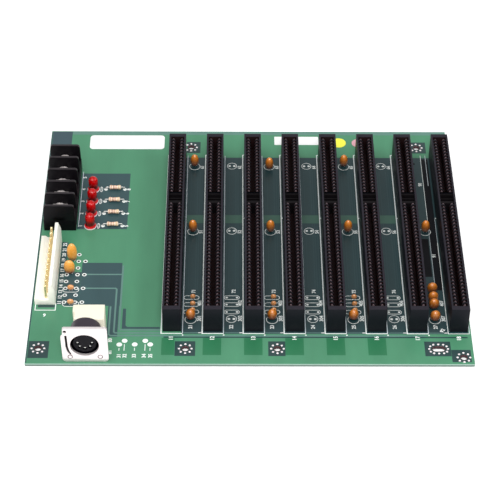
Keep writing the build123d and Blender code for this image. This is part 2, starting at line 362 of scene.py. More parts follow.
def strip_of(name, points, width, thickness):
    """Bent strip that follows points in the XZ plane."""
    piece = wire(name, [(x, -width / 2, z) for x, z in points])
    bpy.ops.mesh.extrude_region_move(TRANSFORM_OT_translate={"value": (0, width * MM, 0)})
    switch("OBJECT")
    tidy(piece)
    return modify(piece, "SOLIDIFY", thickness=thickness * MM, offset=0)


def box(left, right, front, back, corner=0.0, steps=5):
    """Closed outline of a rectangle, with rounded corners if asked."""
    if not corner:
        return [(left, front), (right, front), (right, back), (left, back)]
    outline = []
    centres = (
        (right - corner, front + corner, -90),
        (right - corner, back - corner, 0),
        (left + corner, back - corner, 90),
        (left + corner, front + corner, 180),
    )
    for x, y, start in centres:
        for step in range(steps + 1):
            angle = math.radians(start + 90 * step / steps)
            outline.append((x + corner * math.cos(angle), y + corner * math.sin(angle)))
    return outline


def disc(x, y, radius, points=20):
    """Closed outline of a circle."""
    turns = [2 * math.pi * point / points for point in range(points)]
    return [(x + radius * math.cos(turn), y + radius * math.sin(turn)) for turn in turns]


def ring_outlines(x, y, radius, width, points=20):
    """Outer and inner outline of a ring."""
    return [disc(x, y, radius, points), disc(x, y, radius - width, points)]


def stroke(points, width):
    """Closed outline of a line of one width along a few points, mitred where it turns."""
    points = [Vector(point) for point in points]
    sides = ([], [])
    for index, point in enumerate(points):
        before = (point - points[index - 1]).normalized() if index else None
        after = (points[index + 1] - point).normalized() if index < len(points) - 1 else None
        along = ((before or after) + (after or before)).normalized()
        reach = width / 2 / along.dot(before or after)
        side = Vector((-along.y, along.x)) * reach
        sides[0].append(tuple(point + side))
        sides[1].append(tuple(point - side))
    return sides[0] + sides[1][::-1]


def drawn(name, kind, lines, line_look, height=0.0, **look):
    """Mesh of a curve with one spline along each line of points, lifted to a height."""
    curve = adjust(bpy.data.curves.new(name, "CURVE"), **look)
    for line in lines:
        spline = curve.splines.new(kind)
        spline.points.add(len(line) - 1)
        for point, place in zip(spline.points, line):
            point.co = Vector(place).to_4d()
        adjust(spline, **line_look)
    take(added(name, curve))
    bpy.ops.object.convert(target="MESH")
    piece = bpy.context.object
    piece.location.z = height * MM
    piece.scale = (MM, MM, MM)
    return tidy(settle(piece))


def flat(name, outlines, low, high):
    """Flat piece of closed outlines; an outline inside another one is a hole."""
    return drawn(
        name, "POLY", outlines, {"use_cyclic_u": True}, (low + high) / 2,
        dimensions="2D", fill_mode="BOTH", extrude=(high - low) / 2,
    )


def tube(name, points, radius):
    """Round wire with smooth bends along a few points."""
    bends = {"order_u": 3, "use_endpoint_u": True, "resolution_u": 4}
    return drawn(
        name, "NURBS", [points], bends,
        dimensions="3D", bevel_depth=radius, bevel_resolution=2, use_fill_caps=True,
    )


def figures(name, words, size):
    """Plain numbers printed on the board: each is its text, its place and its turn in degrees."""
    pieces = []
    for text, x, y, turn in words:
        bpy.ops.object.text_add(location=(x * MM, y * MM, (top + word_top) / 2 * MM))
        piece = bpy.context.object
        piece.rotation_euler.z = math.radians(turn)
        piece.scale = (MM, MM, MM)
        adjust(
            piece.data, body=text, size=size, align_x="CENTER", align_y="CENTER", resolution_u=2,
            offset=0.075, extrude=(word_top - top) / 2,
        )
        bpy.ops.object.convert(target="MESH")
        pieces.append(settle(bpy.context.object))
    dress(tidy(join(name, pieces)), "print")


def pick(piece, kind, test):
    """Enter edit mode with only those faces or edges selected that pass a test."""
    take(piece)
    switch("EDIT")
    bpy.ops.mesh.select_mode(type=kind)
    bpy.ops.mesh.select_all(action="DESELECT")
    mesh = bmesh.from_edit_mesh(piece.data)
    for element in mesh.faces if kind == "FACE" else mesh.edges:
        if test(element):
            element.select_set(True)
    bmesh.update_edit_mesh(piece.data)


def fill(node, values):
    """Set inputs of a node."""
    for label, value in values.items():
        node.inputs[label].default_value = value
    return node


def node_of(tree, kind, values=None, **settings):
    """New node of a material or group, with its settings and the values of its inputs."""
    return fill(adjust(tree.nodes.new("ShaderNode" + kind), **settings), values or {})


def connect(tree, *links):
    """Link nodes: each link is a node and its output, then a node and its input."""
    for source, output, target, socket in links:
        tree.links.new(source.outputs[output], target.inputs[socket])


def shader_of(material):
    """Shader of a material."""
    return material.node_tree.nodes["Principled BSDF"]


def new_material(name):
    """New material with a plain shader."""
    return adjust(bpy.data.materials.new(name), use_nodes=True)


def recolour(material, blend, socket):
    """Let a mix node make the base colour, with the colour so far in one of its inputs."""
    base = shader_of(material).inputs["Base Color"]
    material.node_tree.links.new(base.links[0].from_socket, blend.inputs[socket])
    material.node_tree.links.new(blend.outputs["Result"], base)
    return material


def place_group(kind, sockets_in, sockets_out):
    """Empty shader node group with named inputs and outputs."""
    group = bpy.data.node_groups.new(kind, "ShaderNodeTree")
    for label, socket, value in sockets_in:
        made = group.interface.new_socket(label, in_out="INPUT", socket_type="NodeSocket" + socket)
        made.default_value = value
    for label, socket in sockets_out:
        group.interface.new_socket(label, in_out="OUTPUT", socket_type="NodeSocket" + socket)
    return group, group.nodes.new("NodeGroupInput"), group.nodes.new("NodeGroupOutput")


def fine_grain_group():
    """Small grain of moulded or sprayed surfaces, as a height and a mask."""
    group, source, result = place_group(
        "fine grain", [("Scale", "Float", 2000.0), ("Roughness", "Float", 0.6)],
        [("Height", "Float"), ("Mask", "Float")],
    )
    places = node_of(group, "TexCoord")
    noise = node_of(group, "TexNoise", {"Detail": 3})
    steps = node_of(group, "ValToRGB")
    steps.color_ramp.elements[0].position = 0.35
    steps.color_ramp.elements[1].position = 0.65
    connect(
        group, (places, "Object", noise, "Vector"), (source, "Scale", noise, "Scale"),
        (source, "Roughness", noise, "Roughness"), (noise, "Fac", result, "Height"),
        (noise, "Fac", steps, "Fac"), (steps, "Color", result, "Mask"),
    )
    return group


def uneven_group():
    """Slow change between two colours, with finer specks in it."""
    group, source, result = place_group(
        "uneven colour",
        [
            ("Colour", "Color", (0.5, 0.5, 0.5, 1)), ("Shade", "Color", (0.4, 0.4, 0.4, 1)),
            ("Scale", "Float", 60.0), ("Stretch", "Vector", (1, 1, 1)),
        ],
        [("Colour", "Color"), ("Mask", "Float")],
    )
    places = node_of(group, "TexCoord")
    mapping = node_of(group, "Mapping")
    noise = node_of(group, "TexNoise", {"Detail": 4})
    steps = node_of(group, "MapRange", {"From Min": 0.3, "From Max": 0.7})
    blend = node_of(group, "Mix", data_type="RGBA")
    connect(
        group, (places, "Object", mapping, "Vector"), (source, "Stretch", mapping, "Scale"),
        (mapping, "Vector", noise, "Vector"), (source, "Scale", noise, "Scale"),
        (noise, "Fac", steps, "Value"), (steps, "Result", blend, "Factor"),
        (source, "Colour", blend, "A"), (source, "Shade", blend, "B"),
        (blend, "Result", result, "Colour"), (steps, "Result", result, "Mask"),
    )
    return group


groups = {}


def group_node(tree, kind, builder, values):
    """Place a shared node group in a material, building it once."""
    if kind not in groups:
        groups[kind] = builder()
    return node_of(tree, "Group", values, node_tree=groups[kind])


def finish_of(name, colour, shade=0.8, patch=60.0, stretch=(1, 1, 1), rough=(0.4, 0.5), grain=2000.0,
              depth=0.01, metallic=0.0, coat=0.0, bounce=0.5):
    """Material with uneven colour, uneven roughness and a fine grain."""
    material = new_material(name)
    tree = material.node_tree
    shader = fill(shader_of(material), {
        "Metallic": metallic, "Coat Weight": coat, "Coat Roughness": 0.12, "Specular IOR Level": bounce,
    })
    uneven = group_node(tree, "uneven colour", uneven_group, {
        "Colour": (*colour, 1), "Shade": (*(value * shade for value in colour), 1), "Scale": patch,
        "Stretch": stretch,
    })
    fine = group_node(tree, "fine grain", fine_grain_group, {"Scale": grain})
    level = node_of(tree, "MapRange", {"To Min": rough[0], "To Max": rough[1]})
    bump = node_of(tree, "Bump", {"Strength": 0.6, "Distance": depth * MM})
    connect(
        tree, (uneven, "Colour", shader, "Base Color"), (fine, "Mask", level, "Value"),
        (level, "Result", shader, "Roughness"), (fine, "Height", bump, "Height"),
        (bump, "Normal", shader, "Normal"),
    )
    return material


finishes = {}


def mask_finish(name, colour, shade=0.88):
    """Glossy solder mask, slightly streaked along the board."""
    return finish_of(
        name, colour, shade=shade, patch=90, stretch=(1, 0.25, 1), rough=(0.32, 0.42), grain=1400,
        depth=0.006, coat=0.15, bounce=0.4,
    )


def height_mask(tree, low, high):
    """Node whose result rises from 0 to 1 between two heights."""
    places = node_of(tree, "TexCoord")
    parts = node_of(tree, "SeparateXYZ")
    limits = {"From Min": low * MM, "From Max": high * MM}
    level = node_of(tree, "MapRange", limits, interpolation_type="SMOOTHSTEP")
    connect(tree, (places, "Object", parts, "Vector"), (parts, "Z", level, "Value"))
    return level


def darker_below(material, low, high, colour):
    """Let a finish turn to another colour below a height; a second call lies over the first."""
    tree = material.node_tree
    blend = node_of(tree, "Mix", {"A": (*colour, 1)}, data_type="RGBA")
    connect(tree, (height_mask(tree, low, high), "Result", blend, "Factor"))
    return recolour(material, blend, "B")


def board_finish(look):
    """Solder mask on the faces and pale laminate on every cut edge, with painted shade that darkens the edge
    towards its bottom.
    """
    material = mask_finish("board mask", look.mask, shade=0.86)
    tree = material.node_tree
    faces = node_of(tree, "NewGeometry")
    parts = node_of(tree, "SeparateXYZ")
    flatness = node_of(tree, "Math", operation="ABSOLUTE")
    limit = node_of(tree, "Math", {1: 0.5}, operation="LESS_THAN")
    blend = node_of(tree, "Mix", data_type="RGBA")
    # Painted shade: the cut edge runs from a dark tone low down to the pale laminate higher up.
    shades = {"A": (*(0.3 * value for value in look.laminate), 1), "B": (*look.laminate, 1)}
    side = node_of(tree, "Mix", shades, data_type="RGBA")
    connect(
        tree, (height_mask(tree, 0.5, 1.5), "Result", side, "Factor"), (side, "Result", blend, "B"),
        (faces, "Normal", parts, "Vector"), (parts, "Z", flatness, 0), (flatness, "Value", limit, 0),
        (limit, "Value", blend, "Factor"),
    )
    return recolour(material, blend, "A")


def lens_finish(look):
    """Clear red plastic of the lamps, with painted shade: the body between flange and dome is painted dark
    red, while flange and dome keep the bright red.
    """
    material = finish_of(
        "lamp red", look.lamp, shade=0.7, patch=300, rough=(0.06, 0.12), grain=900, depth=0.002, coat=0.3,
        bounce=0.3,
    )
    fill(shader_of(material), {
        "Subsurface Weight": 0.25, "Subsurface Radius": (1.0, 0.1, 0.1), "Subsurface Scale": 0.002,
    })
    # Painted shade: dark red on the body below the dome; the next call sets the flange back to plain red.
    darker_below(material, top + 3.0, top + 6.4, ink(92, 0, 2))
    return darker_below(material, top + 1.1, top + 2.2, look.lamp)


def slot_finish(look):
    """Black plastic of the slots, with painted light: the top faces are a lighter grey than the black below.
    """
    material = finish_of(
        "slot black", ink(41, 38, 46), patch=120, rough=(0.42, 0.55), grain=3000, depth=0.012, bounce=0.15
    )
    # Painted light: lighter grey only on the top, the plastic's own black below it.
    return darker_below(material, slot_top - 0.25, slot_top - 0.02, look.plastic)


def spring_finish(look):
    """Plated springs: bright tips, and painted shade, dark and reddish, where they go down between the ribs.
    """
    material = finish_of("spring metal", look.metal, shade=0.7, patch=900, rough=(0.25, 0.4), metallic=0.5)
    # Painted shade on the springs below the rim of the slot.
    return darker_below(material, slot_top - 2.2, slot_top - 1.0, ink(52, 32, 30))


def resin_finish(name, colour, height):
    """Dipped resin: glossy, with painted shade that darkens it towards the board."""
    material = finish_of(
        name, colour, shade=0.9, patch=260, rough=(0.24, 0.34), grain=700, depth=0.02, coat=1.0, bounce=0.9
    )
    fill(shader_of(material), {"Coat Roughness": 0.3})
    # Painted shade: the colour of the shaded underside, reached low down on each drop.
    dark = (0.18 * colour[0], 0.1 * colour[1], 0.08 * colour[2])
    return darker_below(material, top + 0.15 * height, top + 0.9 * height, dark)


# Solder masks: name of the material and screen colour
MASKS = {
    "haze": ("pale bare mask", (52, 80, 84)),
    "slate": ("corner mask", (58, 80, 88)),
    "square": ("hole square mask", (42, 68, 68)),
    "strip": ("back strip mask", (96, 138, 126)),
    "band": ("band mask", (64, 102, 88)),
    "bus": ("bus mask", (46, 73, 77)),
}

# Other finishes: name of the material, screen colour, and what differs from the usual
LACQUER = {"patch": 400, "rough": (0.2, 0.3), "coat": 0.4}
DULL = {"patch": 300, "rough": (0.5, 0.6), "bounce": 0.15}
CHALK = {"shade": 0.85, "patch": 500}
PAPER = {"shade": 0.95, "patch": 60, "rough": (0.5, 0.6), "depth": 0.004}
PLAIN = {
    "channel": ("channel black", (16, 18, 24), {"rough": (0.45, 0.55), "bounce": 0.2}),
    "faint": ("faint print", (210, 220, 226), {**CHALK, "rough": (0.6, 0.7), "depth": 0.003}),
    "plating": ("hole plating", (84, 56, 60), {"rough": (0.35, 0.5), "metallic": 0.5}),
    "dots": ("hole dots", (245, 236, 238), {**CHALK, "rough": (0.3, 0.4)}),
    "hole": ("hole dark", (40, 34, 36), {"rough": (0.6, 0.7)}),
    # Painted shade inside the slots: reddish black in the wells, darker black in the key pocket.
    "well": ("well black", (30, 12, 13), {**DULL, "shade": 0.6}),
    "pocket": ("pocket black", (14, 10, 13), {**DULL, "shade": 0.7}),
    "terminal": (
        "terminal black", (12, 9, 14), {"rough": (0.45, 0.55), "grain": 2600, "depth": 0.015, "bounce": 0.15},
    ),
    # Painted light: lighter colour for the fin tops, where the light falls on them.
    "painted_fin_top_light": ("terminal edges", (46, 41, 45), {"shade": 0.7, "patch": 400, "bounce": 0.3}),
    "steel": (
        "screw steel", (240, 232, 230), {**CHALK, "shade": 0.55, "rough": (0.25, 0.42), "metallic": 0.35},
    ),
    "beige": ("resistor beige", (250, 222, 196), LACQUER),
    "brown": ("band brown", (214, 160, 130), LACQUER),
    "dark": ("band dark", (176, 120, 100), LACQUER),
    "gold": ("band gold", (226, 196, 140), LACQUER),
    "pin": ("pin gold", (250, 230, 180), {**CHALK, "rough": (0.2, 0.32), "metallic": 0.8}),
    "core": ("socket black", (12, 10, 18), {"grain": 2600, "bounce": 0.12}),
    # Painted light: lighter grey for the outside of the black barrel.
    "barrel": ("barrel painted light grey", (50, 42, 52), {"rough": (0.3, 0.42), "grain": 2600}),
    "rear": ("rear cream", (242, 236, 216), {"shade": 0.94, "patch": 80, "grain": 2400}),
    "label": ("label white", (246, 246, 246), {**PAPER, "shade": 0.97, "patch": 40}),
    "lemon": ("label yellow", (250, 248, 78), PAPER),
    "rose": ("label pink", (226, 170, 180), PAPER),
}


def make_finishes():
    """Every finish of the board, by the name that the pieces use."""
    scene = bpy.context.scene
    board, slots, parts = scene.board_look, scene.slot_look, scene.part_look
    for key, (name, colour) in MASKS.items():
        finishes[key] = mask_finish(name, ink(*colour))
    for key, (name, colour, more) in PLAIN.items():
        finishes[key] = finish_of(name, ink(*colour), **more)
    finishes.update({
        "board": board_finish(board),
        "bare": mask_finish("bare mask", board.bare),
        "deep": mask_finish("deep mask", board.deep),
        "trace": mask_finish("trace mask", board.trace),
        "print": finish_of(
            "print white", board.print_ink, shade=0.9, patch=500, rough=(0.6, 0.7), depth=0.003
        ),
        "tin": finish_of("tin", parts.tin, patch=700, rough=(0.25, 0.4), metallic=0.6),
        "slot": slot_finish(slots),
        "spring": spring_finish(slots),
        "lamp": lens_finish(parts),
        "cream": finish_of("header cream", parts.cream, shade=0.94, patch=80, rough=(0.4, 0.52), grain=2400),
        "shell": finish_of(
            "shell plate", parts.shell, shade=0.92, patch=120, rough=(0.28, 0.4), metallic=0.55
        ),
        "orange": resin_finish("dipped orange", parts.orange, 8.0),
        "yellow": resin_finish("dipped yellow", parts.yellow, 6.0),
        "tan": resin_finish("dipped tan", parts.tan, 2.2),
    })


def dress(piece, finish):
    """Give a piece its finish and its material slot, and let it ride on the part."""
    piece.data.materials.clear()
    piece.data.materials.append(finishes[finish])
    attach(piece, "root")
    return piece


def lay(name, outlines, height, finish):
    """Flat piece of outlines that lies on the board up to a height."""
    return dress(flat(name, outlines, top, height), finish)


class BACKPLANE_OT_copper(bpy.types.Operator):
    """Fields of the board with no copper under the mask, painted shadows beside the header, and the traces
    that cross them.
    """

    bl_idname = "backplane.copper"
    bl_label = "Copper fields and traces"

    def execute(self, context):
        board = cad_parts["circuit_board"]
        board.data.materials.clear()
        board.data.materials.append(finishes["board"])
        width = context.scene.board_look.trace_line / MM
        back_strip = box(board_low.x + 11.8, board_high.x - 0.3, board_high.y - 3.1, board_high.y - 0.2)
        corner = box(board_low.x + 0.8, board_low.x + 11.6, terminal_high.y + 0.4, board_high.y - 0.4)
        squares_and_header_shadow = [box(*square) for square in hole_squares()]
        squares_and_header_shadow += [hole_outline(*place) for place in hole_middles()]
        # Painted shadow: dark patch on the board in front of the header.
        squares_and_header_shadow.append(box(header_low.x + 1.6, header_high.x - 0.4, header_low.y - 1.9, header_low.y - 0.05))
        layers = (
            ("bare_fields", self.slot_fields(), field_top, "bare"),
            ("pale_fields", self.side_fields(), field_top, "haze"),
            ("corner_field", [corner], field_top, "slate"),
            ("hole_squares", squares_and_header_shadow, field_top, "square"),
            ("deep_patches", self.deep_patches(), field_top, "deep"),
            ("back_strip", [back_strip], field_top, "strip"),
            ("middle_bands", self.middle_bands(), trace_top, "band"),
            ("bus_traces", self.bus_traces(), faint_top, "bus"),
            ("dark_channels", self.dark_channels(), trace_top, "channel"),
            ("copper_traces", self.traces(width), trace_top, "trace"),
        )
        for name, outlines, height, finish in layers:
            lay(name, outlines, height, finish)
        return {"FINISHED"}

    def slot_fields(self):
        """Dark field under the slots, and the dark line along its front."""
        line = slot_front - 4.3
        return [
            box(slot_middles[0] + slot_half, board_high.x - 1.4, slot_front - 1.5, slot_back - 1.8),
            box(slot_middles[0] - 4.0, board_high.x - 2.0, line, line + 0.8),
        ]

    def side_fields(self):
        """Fields under the lamps, right of the header and round the mounting holes, and a painted shadow
        along the header's right side.
        """
        lamp_back = row_places[-1] + 13.3
        wedge_right = first_left - 1.5
        return [
            box(terminal_high.x + 0.2, resistor_x + 7.6, row_places[0] - 2.5, lamp_back),
            box(field_left, field_right, field_front, field_back),
            box(field_right - 4.6, field_right - 0.2, slot_front - 3.8, field_front - 0.05),
            box(rear_high.x + 0.05, field_right - 4.65, rear_low.y - 6.0, field_front - 0.05),
            # Painted shadow of the header, along its right side.
            box(header_high.x + 0.1, header_high.x + 3.3, header_low.y + 0.2, header_low.y + 47.0),
            box(header_high.x + 3.4, field_left - 0.05, field_front, header_high.y - 23.4),
            [
                (field_right + 1.8, field_front - 2.0), (field_right + 1.8, slot_front + 1.9),
                (wedge_right, slot_front + 1.9), (wedge_right, slot_front + 3.3),
                (field_right + 4.4, slot_front + 3.3), (field_right + 3.6, slot_front + 4.4),
                (field_right + 3.4, field_front - 2.0),
            ],
            box(board_low.x + 0.1, board_low.x + 0.7, board_low.y + 0.6, board_high.y - 0.6),
        ]

    def deep_patches(self):
        """Deeper green patches in front of the first six slots."""
        return [
            box(x - 4.9, x + (4.2 if number else 1.5), slot_front - 16.2, slot_front - 4.5)
            for number, x in enumerate(slot_middles[:6])
        ]

    def middle_bands(self):
        """Greener band that crosses the first six gaps behind their middle."""
        return [
            box(left + slot_half + 0.9, right - slot_half - 0.9, slot_front + 81.2, slot_front + 87.7)
            for left, right in zip(slot_middles[:6], slot_middles[1:])
        ]

    def bus_traces(self):
        """Thin lines that run along the gaps from slot to slot."""
        runs = ((slot_front + 31.5, slot_front + 80.8), (slot_front + 88.2, slot_back - 14.0))
        lines = []
        for number, middle in enumerate(gap_middles[:6]):
            for across in (-3.9, -2.7, 0.9, 2.1, 3.3):
                x = middle + across + 0.25 * (number % 3)
                lines += [box(x - 0.22, x + 0.22, front, back) for front, back in runs]
        return lines

    def dark_channels(self):
        """Almost black channels in the last gap, with a dark dot near its back."""
        return [
            box(last_wall - 4.4, last_wall - 0.9, slot_front + 30.0, slot_back - 3.0),
            box(last_wall - 9.4, last_wall - 5.4, slot_front + 40.0, slot_front + 69.0),
            disc(slot_middles[6] + slot_half + 2.4, slot_back - 7.0, 0.8, 12),
        ]

    def traces(self, width):
        """Wide traces from the header's rings to the first slot and along the front."""
        first = first_left - 0.9
        turn = field_right - 2.0
        lines = [
            [(field_left + 1.6, header_high.y - 25.1), (field_right, header_high.y - 25.1)],
            [(field_left + 1.6, header_high.y - 35.4), (turn - 0.7, header_high.y - 35.4),
             (turn, header_high.y - 36.1), (turn, slot_front - 0.3), (turn + 0.7, slot_front - 1.0),
             (first, slot_front - 1.0)],
            [(field_right + 0.5, field_back - 2.0), (field_right + 0.5, slot_front + 1.9),
             (field_right + 1.2, slot_front + 1.2), (first, slot_front + 1.2)],
            [(field_right - 4.5, field_front - 0.4), (field_right - 4.5, slot_front - 2.0),
             (field_right - 3.6, slot_front - 2.9), (slot_middles[6] + 4.0, slot_front - 2.9)],
        ]
        outlines = [stroke(line, width) for line in lines]
        for left, right in zip(slot_middles, slot_middles[1:]):
            edges = (left + slot_half + 1.2, right - slot_half - 1.2)
            outlines.append(box(*edges, slot_front - 1.0, slot_front - 0.6))
        return outlines


def hole_squares():
    """Dark squares round the mounting holes, as left, right, front and back."""
    return [
        (board_low.x + 0.9, board_low.x + 10.9, front_hole_row - 6.6, front_hole_row + 5.1),
        (slot_middles[0] + 1.7, slot_middles[0] + 11.8, front_hole_row - 5.0, front_hole_row + 5.1),
        (slot_middles[2] + 7.0, slot_middles[2] + 15.4, front_hole_row - 5.0, front_hole_row + 5.1),
        (slot_middles[6] + 2.6, slot_middles[6] + 15.4, front_hole_row - 5.0, front_hole_row + 5.1),
        (slot_middles[6] + 15.5, board_high.x - 1.4, front_hole_row - 9.0, front_hole_row - 0.6),
        (slot_middles[0] + slot_half, slot_middles[0] + 12.0, board_high.y - 19.0, board_high.y - 9.4),
        (slot_middles[6] + 4.8, slot_middles[6] + 14.6, board_high.y - 19.0, board_high.y - 9.4),
    ]


def hole_middles():
    """Middle of each mounting hole, and half the straight length of a slotted one."""
    back_row = board_high.y - 14.2
    return [
        (board_low.x + 5.7, front_hole_row, 0),
        (slot_middles[0] + 6.9, front_hole_row, 0),
        (slot_middles[2] + 11.5, front_hole_row, 0),
        (slot_middles[6] + 9.4, front_hole_row, 1.5),
        (slot_middles[7] + 1.0, board_low.y + 4.6, 0),
        (slot_middles[0] + 6.9, back_row, 0),
        (slot_middles[6] + 9.4, back_row, 0),
    ]


def hole_outline(x, y, half, margin=0.0):
    """Outline of a round or slotted mounting hole, with a margin round it."""
    radius = 1.95 + margin
    return box(x - half - radius, x + half + radius, y - radius, y + radius, radius, 8)


class BACKPLANE_OT_printing(bpy.types.Operator):
    """Printed outlines and plain numbers."""

    bl_idname = "backplane.printing"
    bl_label = "Printed outlines and numbers"

    def execute(self, context):
        width = context.scene.board_look.print_line / MM
        outlines, faint, ticks = self.slot_frames(width)
        front_y = header_low.y - 3.9
        left, right = header_low.x + 0.4, header_high.x + 0.1
        corner = [(left, header_low.y + 1), (left, front_y), (right, front_y), (right, header_low.y + 1)]
        outlines.append(stroke(corner, width * 0.8))
        for number in range(1, 8):
            outlines += self.gap_print(number)
        for node in ("header_capacitor_small", "header_capacitor_front"):
            low, high = span(node)
            x, y = (low.x + high.x) / 2, (low.y + high.y) / 2
            for wide, tall, corner in ((4.2, 1.9, 1.8), (3.9, 1.6, 1.5)):
                outlines.append(box(x - wide, x + wide, y - tall, y + tall, corner))
        for row in row_places:
            outlines += ring_outlines(lamp_x, row, 3.3, 0.3, 28)
            outlines += self.letter_d(lamp_x + 4.15, row)
        line_x = terminal_high.x + 0.75
        faint.append(box(line_x, line_x + 0.35, terminal_low.y + 3, terminal_high.y - 3))
        ticks.append(box(last_wall - 4.8, last_wall - 4.56, slot_front + 79.0, slot_back + 0.2))
        faint.append(box(last_wall - 4.75, last_wall - 4.55, slot_front + 34.0, slot_front + 78.0))
        faint.append(box(last_wall - 2.2, last_wall - 1.95, slot_front + 112.0, slot_back + 0.2))
        lay("printed_outlines", outlines, print_top, "print")
        lay("printed_ticks", ticks, print_top, "print")
        lay("faint_outlines", faint, print_top, "faint")

        words = []
        for number, x in enumerate(slot_middles, start=11):
            words.append((str(number), x - 0.2, slot_front - 4.6, 90))
        words.append(("9", header_low.x + 5.4, header_low.y - 7.6, 0))
        figures("slot_numbers", words, 3.0)
        figures("part_numbers", self.part_words(), 2.7)
        return {"FINISHED"}

    def slot_frames(self, width):
        """Open frames round the slots: bold at the left and in front, fainter at the right."""
        reach = slot_half + 0.75
        back_end = slot_back + 0.7
        front_y = slot_front - 1.3
        outlines = []
        faint = []
        ticks = []
        for number, x in enumerate(slot_middles):
            right = min(x + reach, board_high.x - 0.7)
            left = x - reach
            bold = [(left + 1.3, back_end), (left, back_end - 0.5), (left, front_y), (right, front_y)]
            last = number == len(slot_middles) - 1
            if last:
                bold = [(left, slot_front + 66), *bold[2:]]
                faint.append(box(left - 0.09, left + 0.09, slot_front + 66.2, slot_front + 85))
            outlines.append(stroke(bold, width * (0.6 if last else 1)))
            faint.append(box(right - 0.2, right + 0.2, front_y + width / 2, back_end - 1.0))
            if number:
                ticks.append(box(left - 1.9, left - 0.35, front_y + 0.3, front_y + 0.75))
                ticks.append(box(left + 0.26, x - slot_half - 0.04, slot_front + 85, slot_front + 85.7))
                ticks.append(disc(x - slot_pitch + reach + 0.1, front_y - 1.1, 0.42, 10))
        return outlines, faint, ticks

    def gap_print(self, number):
        """Outlines of the places for parts in one gap; the last gap has only the first two."""
        x = gap_middles[number - 1] - 1.0
        uneven = number % 2
        last = number == len(gap_middles)
        outlines = []
        for run in (9.0, 75.0) if last else (9.0, 75.0, 128.4):
            outlines += ring_outlines(x, slot_front + run - 0.4 * uneven, 2.7 + 0.3 * uneven, 0.3, 28)
        for run in () if last else trio_runs:
            y = slot_front + run
            outlines.append(box(x - 3.8, x + 4.1, y - 1.5, y + 1.5, 1.4))
            outlines.append(box(x - 3.5, x + 3.8, y - 1.2, y + 1.2, 1.15))
        return outlines

    def letter_d(self, x, y):
        """Printed half round mark beside a lamp, as outer and inner outline."""
        shapes = []
        for shrink in (0.0, 0.4):
            wide, tall = 0.95 - shrink * 0.8, 2.1 - shrink
            turns = [math.radians(turn) for turn in range(-75, 76, 15)]
            arc = [(x + math.cos(turn) * wide, y + math.sin(turn) * tall) for turn in turns]
            left = x - 0.35 + shrink * 0.8
            shapes.append([(left, y - tall * 0.97), *arc, (left, y + tall * 0.97)])
        return shapes

    def part_words(self):
        """Plain numbers beside the parts: each is its text, its place and its turn in degrees."""
        words = []
        for pin in range(pin_count):
            words.append((str(pin + 11), header_high.x + 1.8, header_low.y + 1.6 + pin * pin_pitch, 90))
        for number, row in enumerate(row_places, start=1):
            words.append((str(number), lamp_x - 5.2, row, 90))
            words.append((str(number + 4), resistor_x + 7.3, row, 90))
        marks = (
            (20, -1.0, 3.4), (300, 3.4, 9.4), (400, 3.4, 20.4), (50, 3.2, 74.4), (60, 3.2, 127.4),
            (70, 0.2, 29.0),
        )
        for number, x in enumerate(gap_middles, start=1):
            for first, across, run in marks:
                if number < len(gap_middles) or first not in (50, 60):
                    words.append((str(first + number), x + across, slot_front + run, 90))
        words += [
            ("5", lamp_x - 5.2, row_places[-1] + pole_pitch, 90),
            ("90", last_wall - 6.4, slot_front + 113.0, 90),
            ("91", last_wall - 3.3, slot_front + 56.0, 90),
            ("92", last_wall - 3.4, slot_front + 0.9, 60),
            ("80", rear_high.x + 2.2, rear_low.y + 2.6, 90),
            ("81", rear_high.x + 2.4, shield_high.y - 5.6, 90),
        ]
        for number, across in enumerate((0.2, 3.0, 7.6, 12.4, 15.6), start=31):
            words.append((str(number), front_pads_left + across, board_low.y + 5.4, 90))
        return words


class BACKPLANE_OT_pads(bpy.types.Operator):
    """Tinned rings, pads and the dots round the mounting holes."""

    bl_idname = "backplane.pads"
    bl_label = "Pads and plated holes"

    def execute(self, context):
        self.rings()
        outlines = []
        for middle in gap_middles[1::2]:
            x = middle - 1.0
            for run in (9.0, 75.2, 128.4):
                outlines += [disc(x + shift, slot_front + run, 0.72, 12) for shift in (-1.27, 1.27)]
            for run in trio_runs:
                outlines += [disc(x + shift, slot_front + run, 0.6, 12) for shift in (-2.4, 2.8)]
        for row in row_places:
            outlines += [disc(resistor_x + shift, row, 1.0, 16) for shift in (-lead_reach, lead_reach)]
        front = board_low.y + 13.1
        for across, along in ((0, 0), (2.5, 2.6), (7.6, 0.1), (12.7, 2.6), (15.2, 0.1)):
            x, y = front_pads_left + across, front + along
            outlines += [disc(x, y, 1.4, 20), stroke([(x, y - 2.4), (x, front - 4.2)], 0.35)]
        lay("tinned_pads", outlines, pad_top, "print")
        self.plated_holes()
        return {"FINISHED"}

    def rings(self):
        """Rings between the header and the field to its right."""
        first = header_high.y - 10.2
        pitch = 5.06
        columns = (
            (header_high.x + 9.6, range(8)), (header_high.x + 13.1, range(1, 8, 2)),
            (header_high.x + 4.1, range(3, 8)),
        )
        places = [(x, first - row * pitch) for x, rows in columns for row in rows]
        outlines = []
        for x, y in places:
            outlines += ring_outlines(x, y, 1.15, 0.5, 16)
        lay("ring_pads", outlines, pad_top, "print")
        lay("pad_holes", [disc(x, y, 0.64, 12) for x, y in places], print_top, "hole")

    def plated_holes(self):
        """Plated wall of every mounting hole, and the ring of bright dots round it."""
        walls = []
        dot = turned("hole_dot", [(0, 0), (0.6, 0), (0.54, 0.1), (0, 0.14)], 10)
        dots = []
        radius = 3.1
        for x, y, half in hole_middles():
            outlines = [hole_outline(x, y, half, margin) for margin in (-0.02, -0.3)]
            walls.append(flat("wall", outlines, board_low.z, top + 0.03))
            count = 10 if half else 8
            places = [(0, -radius), (0, radius)] if half else []
            for step in range(count):
                angle = 2 * math.pi * step / count
                across = radius * math.cos(angle)
                places.append((across + math.copysign(half, across), radius * math.sin(angle)))
            dots += [twin(dot, "dot", (x + across, y + along, top)) for across, along in places]
        drop(dot)
        dress(join("hole_walls", walls), "plating")
        dress(smooth(join("plated_holes", dots)), "dots")


